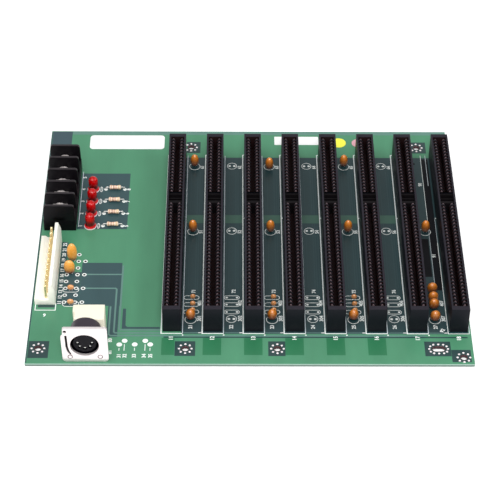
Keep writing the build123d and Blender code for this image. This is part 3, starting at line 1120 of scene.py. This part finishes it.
class BACKPLANE_OT_slots(bpy.types.Operator):
    """Ribbed housings of the card edge slots."""

    bl_idname = "backplane.slots"
    bl_label = "Slot housings"

    def execute(self, context):
        rib_width = context.scene.slot_look.rib / MM
        reach = contact_pitch / 2 + 0.1
        body = slab("housing", -slot_half, slot_half, slot_front, slot_back, top, slot_top)
        recess_front = front_row_end + reach
        recess_back = first_back_contact - reach
        cut(body, [self.inner("recess", recess_front, recess_back, slot_top - 1.5)])
        cutters = []
        for start, count in contact_rows:
            end = start + (count - 1) * contact_pitch
            cutters.append(self.inner("well", start - reach, end + reach, well_floor))
        pocket_front = recess_front + 1.9
        pocket_back = recess_back - 0.8
        cutters.append(self.inner("pocket", pocket_front, pocket_back, slot_top - 4))
        cut(body, cutters)
        soften(body, 0.22, 2)
        bar_front = (pocket_front + pocket_back) / 2 - 0.4
        parts = [body, self.inner("bar", bar_front, bar_front + 0.8, slot_top - 4, slot_top - 2.2)]
        for start, count in contact_rows:
            middle = start + contact_pitch / 2
            front, back = middle - rib_width / 2, middle + rib_width / 2
            rib = slab("rib", 1.0, well_half, front, back, well_floor, slot_top - 0.3)
            self.lead_in(rib)
            row_of(rib, count - 1, (0, contact_pitch, 0))
            mirrored(rib)
            parts.append(rib)
        housing = smooth(tidy(join("slot_pattern", parts)))
        for number, x in enumerate(slot_middles, start=1):
            piece = twin(housing, f"slot_housing_{number}", (x, 0, 0))
            dress(piece, "slot")
            self.darken_wells(piece, x)
            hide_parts(f"card_slot_{number}")
        drop(housing)
        return {"FINISHED"}

    def inner(self, name, front, back, low, high=slot_top + 1):
        """Block as wide as the wells."""
        return slab(name, -well_half, well_half, front, back, low, high)

    def darken_wells(self, piece, x):
        """Give the walls and floors of the wells a reddish black and the key pocket a darker black, both
        painted shade.
        """
        piece.data.materials.append(finishes["well"])
        piece.data.materials.append(finishes["pocket"])
        pocket = front_row_end + 1.3
        for face in piece.data.polygons:
            middle = face.center / MM
            inside = abs(middle.x - x) < well_half + 0.01 and slot_front + 1 < middle.y < slot_back - 1
            if inside and middle.z < slot_top - 1.2:
                face.material_index = 2 if pocket < middle.y < first_back_contact - 1.3 else 1

    def lead_in(self, rib):
        """Slope the inner top edge of a rib, so that a card finds its way in."""
        inner = min(vertex.co.x for vertex in rib.data.vertices)
        high = max(vertex.co.z for vertex in rib.data.vertices)
        pick(rib, "EDGE", lambda edge: all(
            abs(vertex.co.x - inner) < 1e-6 and abs(vertex.co.z - high) < 1e-6 for vertex in edge.verts
        ))
        bpy.ops.mesh.bevel(offset=1.2 * MM, segments=1)
        switch("OBJECT")


class BACKPLANE_OT_springs(bpy.types.Operator):
    """Bent contact springs of the card edge slots."""

    bl_idname = "backplane.springs"
    bl_label = "Contact springs"

    def execute(self, context):
        look = context.scene.slot_look
        bends = [(2.75, 1.35), (2.45, 0.75), (1.95, 0.95), (1.35, 2.4), (1.08, 4.2), (1.3, 5.6), (2.3, 8.9)]
        points = [(x, slot_top - fall) for x, fall in bends]
        parts = []
        for start, count in contact_rows:
            strip = strip_of("strip", points, look.strip_width / MM, look.strip / MM)
            moved(strip, (0, start, 0))
            row_of(strip, count, (0, contact_pitch, 0))
            mirrored(strip)
            parts.append(strip)
        springs = smooth(join("spring_pattern", parts), math.radians(50))
        for number, x in enumerate(slot_middles, start=1):
            piece = twin(springs, f"slot_springs_{number}", (x, 0, 0))
            dress(piece, "spring")
            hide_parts(f"card_slot_{number}_contacts")
        drop(springs)
        return {"FINISHED"}


class BACKPLANE_OT_joints(bpy.types.Operator):
    """Solder joints under the board."""

    bl_idname = "backplane.joints"
    bl_label = "Solder joints"

    def execute(self, context):
        profile = [(0, -joint_drop), (0.22, -joint_drop), (0.34, -0.2), (0.78, -0.02), (0.78, 0.0), (0, 0.0)]
        joint = turned("joint", profile, 8)
        parts = []
        for start, count in contact_rows:
            row = twin(joint, "joint_row", (1.27, start, board_low.z))
            row_of(row, count, (0, contact_pitch, 0))
            mirrored(row)
            parts.append(row)
        pattern = join("joint_pattern", parts)
        rows = [twin(pattern, "joints", (x, 0, 0)) for x in slot_middles]
        grids = (
            ("pins", pin_x, pin_rows[0], pin_count, pin_pitch, 0),
            ("legs", resistor_x - lead_reach, row_places[0], len(row_places), row_pitch, 2 * lead_reach),
            ("posts", lamp_x - 1.27, row_places[0], len(row_places), row_pitch, 2.54),
        )
        for name, x, y, count, step, across in grids:
            grid = row_of(twin(joint, name, (x, y, board_low.z)), count, (0, step, 0))
            if across:
                row_of(grid, 2, (across, 0, 0))
            rows.append(grid)
        drop(joint, pattern)
        dress(smooth(join("solder_joints", rows), math.radians(60)), "tin")
        return {"FINISHED"}


class BACKPLANE_OT_terminals(bpy.types.Operator):
    """Barrier terminal strip with its clamp plates and screws."""

    bl_idname = "backplane.terminals"
    bl_label = "Terminal strip"

    def execute(self, context):
        middle = (terminal_low.x + terminal_high.x) / 2
        half = (terminal_high.x - terminal_low.x) / 2
        floor = top + 7.2
        post = top + 9.4
        base = slab("base", terminal_low.x, terminal_high.x, terminal_low.y, terminal_high.y, top, floor)
        rail = slab("rail", middle - 3.2, middle + 3.2, terminal_low.y, terminal_high.y, floor - 0.5, post)
        parts = [soften(base, 0.35), soften(rail, 0.25)]
        fin = self.fin(middle, half)
        row_of(fin, pole_count + 1, (0, pole_pitch, 0))
        parts.append(fin)
        strip = smooth(join("terminal_body", parts))
        dress(strip, "terminal")
        # Painted light on the upward faces near the top of the fins.
        strip.data.materials.append(finishes["painted_fin_top_light"])
        for face in strip.data.polygons:
            if face.normal.z > 0.4 and face.center.z / MM > terminal_high.z - 1.8:
                face.material_index = 1
        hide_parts("terminal_strip")

        pole_y = terminal_low.y + (pole_pitch + fin_thickness) / 2
        reach = 4.0
        front, back = pole_y - 3.85, pole_y + 3.85
        plate = soften(slab("plate", middle - reach, middle + reach, front, back, post, post + 1.0), 0.3)
        lips = []
        for sign in (-1, 1):
            edges = sorted((middle + sign * (reach - 0.75), middle + sign * reach))
            lip = slab("lip", *edges, front, back, post - 0.8, post + 0.5)
            lips.append(soften(lip, 0.2))
        plate = join("plate", [plate, *lips])
        row_of(plate, pole_count, (0, pole_pitch, 0))
        plates = smooth(plate)
        plates.name = "clamp_plates"
        dress(plates, "steel")
        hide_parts("terminal_clamps")

        head = turned("head", [(0, 0), (2.9, 0), (2.9, 1.3), (2.6, 1.9), (1.9, 2.3), (0, 2.4)], 32)
        cut(head, [slab("slit", -3.2, 3.2, -0.45, 0.45, 1.5, 3.0)])
        cut(head, [slab("cross", -0.45, 0.45, -1.9, 1.9, 1.5, 3.0)])
        screws = []
        for pole, turn in enumerate((78, 92, 83, 97, 88)):
            place = (middle, pole_y + pole_pitch * pole, post + 1.0)
            screws.append(moved(twin(head, "screw"), place, turn, "Z"))
        drop(head)
        screws = smooth(join("clamp_screws", screws))
        dress(screws, "steel")
        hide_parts("terminal_screws")
        return {"FINISHED"}

    def fin(self, middle, half):
        """Barrier fin, slightly narrower at its rounded top."""
        front = terminal_low.y
        piece = slab("fin", middle - half, middle + half, front, front + fin_thickness, top, terminal_high.z)
        pick(piece, "FACE", lambda face: face.normal.z > 0.9)
        bpy.ops.transform.resize(value=(1 - 0.5 / half, 1, 1), center_override=(middle * MM, 0, 0))
        switch("OBJECT")
        pick(piece, "EDGE", lambda edge: all(
            vertex.co.z / MM > terminal_high.z - 0.01 for vertex in edge.verts
        ) and abs(edge.verts[0].co.x - edge.verts[1].co.x) < 0.01 * MM)
        bpy.ops.mesh.bevel(offset=1.5 * MM, segments=5)
        switch("OBJECT")
        return soften(piece, 0.25)


class BACKPLANE_OT_lamps(bpy.types.Operator):
    """Round red lamps with a flange and a dome, and a painted highlight ring round each flange."""

    bl_idname = "backplane.lamps"
    bl_label = "Lamps"

    def execute(self, context):
        height = lamp_spans[0][1].z - top
        radius = 2.5
        dome = height - radius
        profile = [(0, 0), (2.9, 0), (2.95, 0.15), (2.95, 0.9), (2.8, 1.05), (radius, 1.1), (radius, dome)]
        for step in range(1, 8):
            angle = math.radians(90 * step / 8)
            profile.append((radius * math.cos(angle), dome + radius * math.sin(angle)))
        lens = turned("lens", [*profile, (0, height)], 32)
        for number, row in enumerate(row_places, start=1):
            piece = twin(lens, f"lamp_lens_{number}", (lamp_x, row, top))
            dress(smooth(piece, math.radians(45)), "lamp")
            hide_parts(f"indicator_lamp_{number}")
        drop(lens)
        # Painted highlight: a thin pale pink ring round each flange.
        rim = turned("rim", [(2.96, 0.1), (3.12, 0.1), (3.12, 0.45), (2.96, 0.45), (2.96, 0.1)], 32)
        rim_highlights = [twin(rim, "rim", (lamp_x, row, top)) for row in row_places]
        drop(rim)
        dress(smooth(join("lamp_rim_highlights", rim_highlights)), "rose")
        return {"FINISHED"}


class BACKPLANE_OT_resistors(bpy.types.Operator):
    """Lacquered resistors with colour bands and bent wires."""

    bl_idname = "backplane.resistors"
    bl_label = "Resistors"

    def execute(self, context):
        low, high = resistor_spans[0]
        height = (low.z + high.z) / 2
        half = (high.x - low.x) / 2
        end = [(0, 0), (0.5, 0), (0.95, 0.15), (1.17, 0.5), (1.2, 0.9), (1.15, 1.35), (1.02, 1.7)]
        profile = [(radius, along - half) for radius, along in end]
        profile += [(1.0, place) for place in (-1.0, -0.45, 0.1, 0.65)]
        profile += [(radius, half - along) for radius, along in reversed(end)]
        body = tidy(moved(turned("resistor", profile, 20), (0, 0, 0), 90, "Y"))
        smooth(body, math.radians(60))
        bands = ((-2.3, -1.8, "brown"), (-1.0, -0.45, "dark"), (0.1, 0.65, "brown"), (1.7, 2.3, "gold"))
        for number, row in enumerate(row_places, start=1):
            piece = twin(body, f"resistor_body_{number}", (resistor_x, row, height))
            dress(piece, "beige")
            for index, (left, right, finish) in enumerate(bands, start=1):
                piece.data.materials.append(finishes[finish])
                for face in piece.data.polygons:
                    if left - 0.02 < face.center.x / MM - resistor_x < right + 0.02:
                        face.material_index = index
            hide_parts(f"resistor_{number}")
        drop(body)
        route = [
            (half - 0.1, height), (4.4, height), (5.0, height), (lead_reach, height - 0.6), (lead_reach, top),
        ]
        wires = []
        for row in row_places:
            for sign in (-1, 1):
                wires.append(tube("wire", [(resistor_x + sign * reach, row, z) for reach, z in route], 0.28))
        wires = smooth(join("resistor_wires", wires), math.radians(60))
        dress(wires, "tin")
        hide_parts("resistor_leads")
        return {"FINISHED"}


class BACKPLANE_OT_header(bpy.types.Operator):
    """Power header: its wafer with the ramped wall, and its pins."""

    bl_idname = "backplane.header"
    bl_label = "Power header"

    def execute(self, context):
        left, front, back = header_low.x, header_low.y, header_high.y
        side = [
            (0, 0), (10.45, 0), (10.45, 9.4), (9.2, 13.4), (7.6, 13.4), (7.0, 3.2), (3.4, 3.2),
            (2.0, 4.2), (0, 4.2),
        ]
        wafer = wire("wafer", [(left + x, front, top + z) for x, z in side])
        bpy.ops.mesh.edge_face_add()
        bpy.ops.mesh.extrude_region_move(TRANSFORM_OT_translate={"value": (0, (back - front) * MM, 0)})
        switch("OBJECT")
        tidy(wafer)
        notches = [
            slab("notch", left + 9.9, left + 11, row - 0.5, row + 0.5, top - 1, top + 8.2) for row in pin_rows
        ]
        cut(wafer, notches)
        smooth(soften(wafer, 0.22))
        wafer.name = "header_wafer"
        dress(wafer, "cream")
        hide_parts("power_header")

        half = 0.57
        taper = 0.3
        shoulder = span("power_header_pins")[1].z - taper
        pin = slab("pin", pin_x - half, pin_x + half, pin_rows[0] - half, pin_rows[0] + half, top, shoulder)
        pick(pin, "FACE", lambda face: face.normal.z > 0.9)
        bpy.ops.mesh.inset(thickness=taper * MM)
        bpy.ops.transform.translate(value=(0, 0, taper * MM))
        switch("OBJECT")
        pins = smooth(row_of(soften(pin, 0.08, 1), pin_count, (0, pin_pitch, 0)))
        pins.name = "header_pins"
        dress(pins, "pin")
        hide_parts("power_header_pins")
        return {"FINISHED"}


class BACKPLANE_OT_socket(bpy.types.Operator):
    """Round socket: front plate, insulator, contacts and rear body."""

    bl_idname = "backplane.socket"
    bl_label = "Round socket"

    def execute(self, context):
        x = (barrel_low.x + barrel_high.x) / 2
        axis = (barrel_low.z + barrel_high.z) / 2
        half = (shield_high.x - shield_low.x) / 2
        height = shield_high.z - top
        outline = [
            (-half + 1.6, 0.0), (half - 1.6, 0.0), (half - 0.5, 0.5), (half, 1.6),
            (half - 0.2, height - 0.9), (half - 1.0, height), (-half + 1.8, height),
            (-half + 1.1, height - 0.5), (-half + 0.9, height - 5.0), (-half, height - 6.0),
            (-half + 0.3, 1.8), (-half + 0.8, 0.6),
        ]
        hole = disc(0, axis - top, 7.0, 48)
        slit = [
            (-9.4, 17.6), (-9.2, 10.2), (-8.6, 7.0), (-7.2, 4.4), (-6.5, 5.0), (-7.6, 7.5), (-8.1, 10.4),
            (-8.3, 17.6),
        ]
        spot = disc(-half + 2.2, height - 2.2, 0.85, 12)
        plate = flat("plate", [outline, hole, slit, spot], 0, 1.5)
        tidy(moved(plate, (x, shield_low.y + 1.5, top), 90))
        soften(plate, 0.18)
        # Painted shade: a dark sheet behind the slit and the spot, so that they look dark.
        slit_shade = flat("painted_slit_shade", [slit, spot], 0.4, 0.8)
        dress(tidy(moved(slit_shade, (x, shield_low.y + 1.5, top), 90)), "pocket")
        tabs = []
        for sign in (-1, 1):
            edges = sorted((x + sign * 7.8, x + sign * 8.6))
            tabs.append(soften(slab("tab", *edges, shield_low.y + 1.5, shield_high.y, top, top + 12), 0.2))
        rivets = [(x + across, shield_low.y, top + 3.4) for across in (-7.3, 7.3)]
        knob = [(0, 0), (0.9, 0), (0.8, 0.25), (0, 0.32)]
        knobs = [moved(turned("knob", knob, 12), place, 90) for place in rivets]
        shell = smooth(join("socket_front", [plate, *tabs, *knobs]))
        dress(shell, "shell")
        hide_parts("socket_shield")
        ring = [(1.0, -0.05), (1.3, -0.05), (1.3, 0.05), (1.0, 0.05), (1.0, -0.05)]
        rings = [tidy(moved(turned("ring", ring, 16), place, 90)) for place in rivets]
        dress(smooth(join("rivet_rings", rings)), "plating")

        self.insulator(x, axis)
        low, high = rear_low, rear_high
        rear = slab("socket_back", low.x, high.x, low.y, high.y, low.z, high.z)
        cut(rear, [slab("step", low.x - 1, low.x + 1.0, low.y - 1, low.y + 5.5, top - 1, high.z + 1)])
        smooth(soften(rear, 0.4, 3))
        dress(rear, "rear")
        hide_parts("socket_rear_body")
        return {"FINISHED"}

    def insulator(self, x, axis):
        """Black core and barrel with five holes, and the contacts in them; the outside of the barrel gets
        painted light, a lighter grey.
        """
        front, back = barrel_low.y, barrel_high.y
        depth = back - front
        profile = [
            (0, 0), (5.6, 0), (5.8, 0.2), (5.8, 6.0), (7.0, 6.0), (7.0, 0), (7.4, 0), (7.5, 0.15),
            (7.5, depth - 0.3), (7.2, depth), (0, depth),
        ]
        core = turned("core", profile, 48)
        cutters = []
        springs = []
        radius = 3.5
        for turn in (0, 45, 90, 135, 180):
            angle = math.radians(turn)
            across, rise = radius * math.cos(angle), radius * math.sin(angle)
            place = (across * MM, rise * MM, 0)
            bpy.ops.mesh.primitive_cylinder_add(vertices=20, radius=0.95 * MM, depth=14 * MM, location=place)
            cutters.append(settle(bpy.context.object))
            spring = turned("spring", [(0, 0.6), (0.4, 0.6), (0.7, 0.9), (0.7, 7.0), (0, 7.0)], 14)
            springs.append(moved(spring, (across, rise, 0)))
        cut(core, cutters)
        springs = join("socket_springs", springs)
        for piece in (core, springs):
            smooth(tidy(moved(piece, (x, front, axis), -90)))
        core.name = "socket_core"
        dress(core, "core")
        # Painted light: the outside of the barrel gets the lighter grey, the face stays black.
        core.data.materials.append(finishes["barrel"])
        for face in core.data.polygons:
            middle = face.center / MM - Vector((x, 0, axis))
            if middle.y > front + 0.1 and math.hypot(middle.x, middle.z) > 7.1:
                face.material_index = 1
        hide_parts("socket_barrel")
        dress(springs, "tin")
        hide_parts("socket_contacts")


def dipped_nodes():
    """Nodes of the frame that are capacitor bodies."""
    return [node for node in sorted(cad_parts) if "_capacitor" in node]


def dipped_rows(node):
    """Place along the board of each body in a node; the small ones between the slots stand in threes."""
    low, high = span(node)
    if not node.startswith("small_"):
        return [(low.y + high.y) / 2]
    first = low.y + trio_thickness / 2
    return [first, first + 4.7, high.y - trio_thickness / 2]


class BACKPLANE_OT_capacitors(bpy.types.Operator):
    """Dipped capacitors, each a drop of resin on two wires."""

    bl_idname = "backplane.capacitors"
    bl_label = "Capacitors"

    def execute(self, context):
        finish_of_node = {
            "header_capacitor_tall": "yellow", "header_capacitor_low": "yellow",
            "header_capacitor_small": "tan", "header_capacitor_front": "tan",
        }
        for node in dipped_nodes():
            low, high = span(node)
            trio = node.startswith("small_")
            finish = "tan" if trio else finish_of_node.get(node, "orange")
            wider = 1.08 if node.startswith(("column_", "front_")) else 1
            thickness = trio_thickness if trio else high.y - low.y
            size = ((high.x - low.x) * wider, thickness * wider, high.z - low.z)
            drops = [self.bead(size, ((low.x + high.x) / 2, y, low.z)) for y in dipped_rows(node)]
            piece = join(node + "_drop", drops)
            dress(smooth(piece, math.radians(80)), finish)
            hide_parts(node)
        self.wires()
        return {"FINISHED"}

    def bead(self, size, foot):
        """Drop of resin: full at the middle, drawn in towards its wires."""
        width, thickness, height = size
        bpy.ops.mesh.primitive_uv_sphere_add(segments=20, ring_count=14, radius=0.5 * MM)
        piece = bpy.context.object
        piece.scale = (width, thickness, height)
        settle(piece)
        for vertex in piece.data.vertices:
            rise = vertex.co.z / (height * MM / 2)
            fullness = 2.1 if rise > 0 else 3.0
            full = max(0.0, 1 - min(1.0, abs(rise)) ** fullness) ** (1 / fullness)
            swell = full / math.sqrt(max(0.002, 1 - rise * rise))
            vertex.co.x *= swell
            vertex.co.y *= swell
        widest = max(abs(vertex.co.x) for vertex in piece.data.vertices)
        piece.data.transform(Matrix.Diagonal((width * MM / 2 / widest, width * MM / 2 / widest, 1, 1)))
        return moved(piece, (foot[0], foot[1], foot[2] + height / 2))

    def wires(self):
        """Two short wires under each drop, each in a small fillet of solder."""
        foot = turned("foot", [(0, 0), (0.6, 0), (0.45, 0.08), (0.28, 0.2), (0.25, 0.6), (0, 0.6)], 10)
        feet = []
        for node in dipped_nodes():
            low, high = span(node)
            x = (low.x + high.x) / 2
            reach = (high.x - low.x) * 0.21 - 0.25
            for y in dipped_rows(node):
                feet += [twin(foot, "foot", (x + side, y, top)) for side in (-reach, reach)]
        drop(foot)
        feet = smooth(join("capacitor_wires", feet), math.radians(60))
        dress(feet, "tin")
        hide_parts("capacitor_leads")


class BACKPLANE_OT_labels(bpy.types.Operator):
    """Blank labels near the back edge."""

    bl_idname = "backplane.labels"
    bl_label = "Labels"

    def execute(self, context):
        left = board_low.x + 21.8
        narrow_left = slot_middles[2] + 12.3
        back = board_high.y
        labels = (
            ("wide_label", box(left, left + 41.2, back - 15.8, back - 3.8, 2.0), "label"),
            ("narrow_label", box(narrow_left, narrow_left + 24.4, back - 11.8, back - 4.7, 0.4), "label"),
            ("yellow_label", disc(slot_middles[4] + 7.3, back - 10.0, 4.0, 40), "lemon"),
            ("pink_label", disc(slot_middles[5] - 2.2, back - 10.2, 3.6, 40), "rose"),
        )
        for name, outline, finish in labels:
            lay(name, [outline], label_top, finish)
        return {"FINISHED"}


class BACKPLANE_OT_stage(bpy.types.Operator):
    """Floor, lights and camera."""

    bl_idname = "backplane.stage"
    bl_label = "Floor, lights and camera"

    def execute(self, context):
        look = context.scene.stage_look
        bpy.ops.mesh.primitive_plane_add(size=8, location=(0, 0, -(joint_drop + 0.05) * MM))
        floor = bpy.context.object
        floor.name = "floor"
        floor.data.materials.append(self.floor_finish(look))
        self.light("key", (-0.5, -0.55, 1.3), 1.4, look.key_power)
        self.light("fill", (1.2, -0.2, 0.9), 0.9, look.fill_power)
        self.light("spark", (0.1, -0.8, 1.0), 0.26, look.spark_power)
        world = adjust(bpy.data.worlds.new("studio"), use_nodes=True)
        fill(world.node_tree.nodes["Background"], {"Strength": look.sky, "Color": (1, 1, 1, 1)})
        context.scene.world = world
        context.scene.view_settings.view_transform = "Standard"
        self.camera(context)
        return {"FINISHED"}

    def floor_finish(self, look):
        """Pale floor that shows white to the eye and in reflections, and keeps soft shadows."""
        material = new_material("floor white")
        tree = material.node_tree
        shader = fill(shader_of(material), {
            "Base Color": (*look.floor, 1), "Roughness": 0.9, "Specular IOR Level": 0.0,
            "Emission Color": (1, 1, 1, 1),
        })
        rays = node_of(tree, "LightPath")
        seen = node_of(tree, "Math", operation="MAXIMUM")
        lift = node_of(tree, "Math", {1: 0.3}, operation="MULTIPLY")
        connect(
            tree, (rays, "Is Camera Ray", seen, 0), (rays, "Is Glossy Ray", seen, 1),
            (seen, "Value", lift, 0), (lift, "Value", shader, "Emission Strength"),
        )
        return material

    def light(self, name, place, size, energy):
        """Square soft light that faces the board."""
        piece = added(name, adjust(bpy.data.lights.new(name, "AREA"), size=size, energy=energy))
        piece.location = place
        piece.rotation_euler = (-Vector(place)).to_track_quat("-Z", "Y").to_euler()

    def camera(self, context):
        """Camera of the photograph: its place in millimetres, its tilt and its focal length."""
        place = Vector((-7.295, -719.93, 647.90))
        pitch, yaw, roll = math.radians(42.232), math.radians(0.614), math.radians(0.526)
        forward = Vector((math.sin(yaw) * math.cos(pitch), math.cos(yaw) * math.cos(pitch), -math.sin(pitch)))
        level = Vector((math.cos(yaw), -math.sin(yaw), 0))
        above = level.cross(forward)
        right = level * math.cos(roll) + above * math.sin(roll)
        up = above * math.cos(roll) - level * math.sin(roll)
        turn = Matrix((right, up, -forward)).transposed()
        data = bpy.data.cameras.new("camera")
        adjust(data, sensor_fit="HORIZONTAL", sensor_width=36, lens=133.27, clip_end=20)
        eye = added("camera", data)
        eye.matrix_world = Matrix.Translation(place * MM) @ turn.to_4x4()
        context.scene.camera = eye


class BACKPLANE_PT_panel(bpy.types.Panel):
    """Panel in the sidebar with every step of the board."""

    bl_label = "Backplane"
    bl_idname = "BACKPLANE_PT_panel"
    bl_space_type = "VIEW_3D"
    bl_region_type = "UI"
    bl_category = "Backplane"

    def draw(self, context):
        for step in steps:
            self.layout.operator(step.bl_idname)
        for name, kind in looks:
            group = getattr(context.scene, name)
            for key in kind.__annotations__:
                self.layout.prop(group, key)


looks = (
    ("board_look", BoardLook),
    ("slot_look", SlotLook),
    ("part_look", PartLook),
    ("stage_look", StageLook),
)

steps = (
    BACKPLANE_OT_copper,
    BACKPLANE_OT_printing,
    BACKPLANE_OT_pads,
    BACKPLANE_OT_slots,
    BACKPLANE_OT_springs,
    BACKPLANE_OT_joints,
    BACKPLANE_OT_terminals,
    BACKPLANE_OT_lamps,
    BACKPLANE_OT_resistors,
    BACKPLANE_OT_header,
    BACKPLANE_OT_socket,
    BACKPLANE_OT_capacitors,
    BACKPLANE_OT_labels,
    BACKPLANE_OT_stage,
)


def register():
    """Register the properties, the operators and the panel."""
    for name, kind in looks:
        bpy.utils.register_class(kind)
        setattr(bpy.types.Scene, name, bpy.props.PointerProperty(type=kind))
    for step in steps:
        bpy.utils.register_class(step)
    bpy.utils.register_class(BACKPLANE_PT_panel)


def unregister():
    """Undo register."""
    bpy.utils.unregister_class(BACKPLANE_PT_panel)
    for step in reversed(steps):
        bpy.utils.unregister_class(step)
    for name, kind in reversed(looks):
        delattr(bpy.types.Scene, name)
        bpy.utils.unregister_class(kind)


def main():
    """Build every piece in order."""
    register()
    make_finishes()
    for step in steps:
        group, name = step.bl_idname.split(".")
        getattr(getattr(bpy.ops, group), name)()


if __name__ == "__main__":
    main()
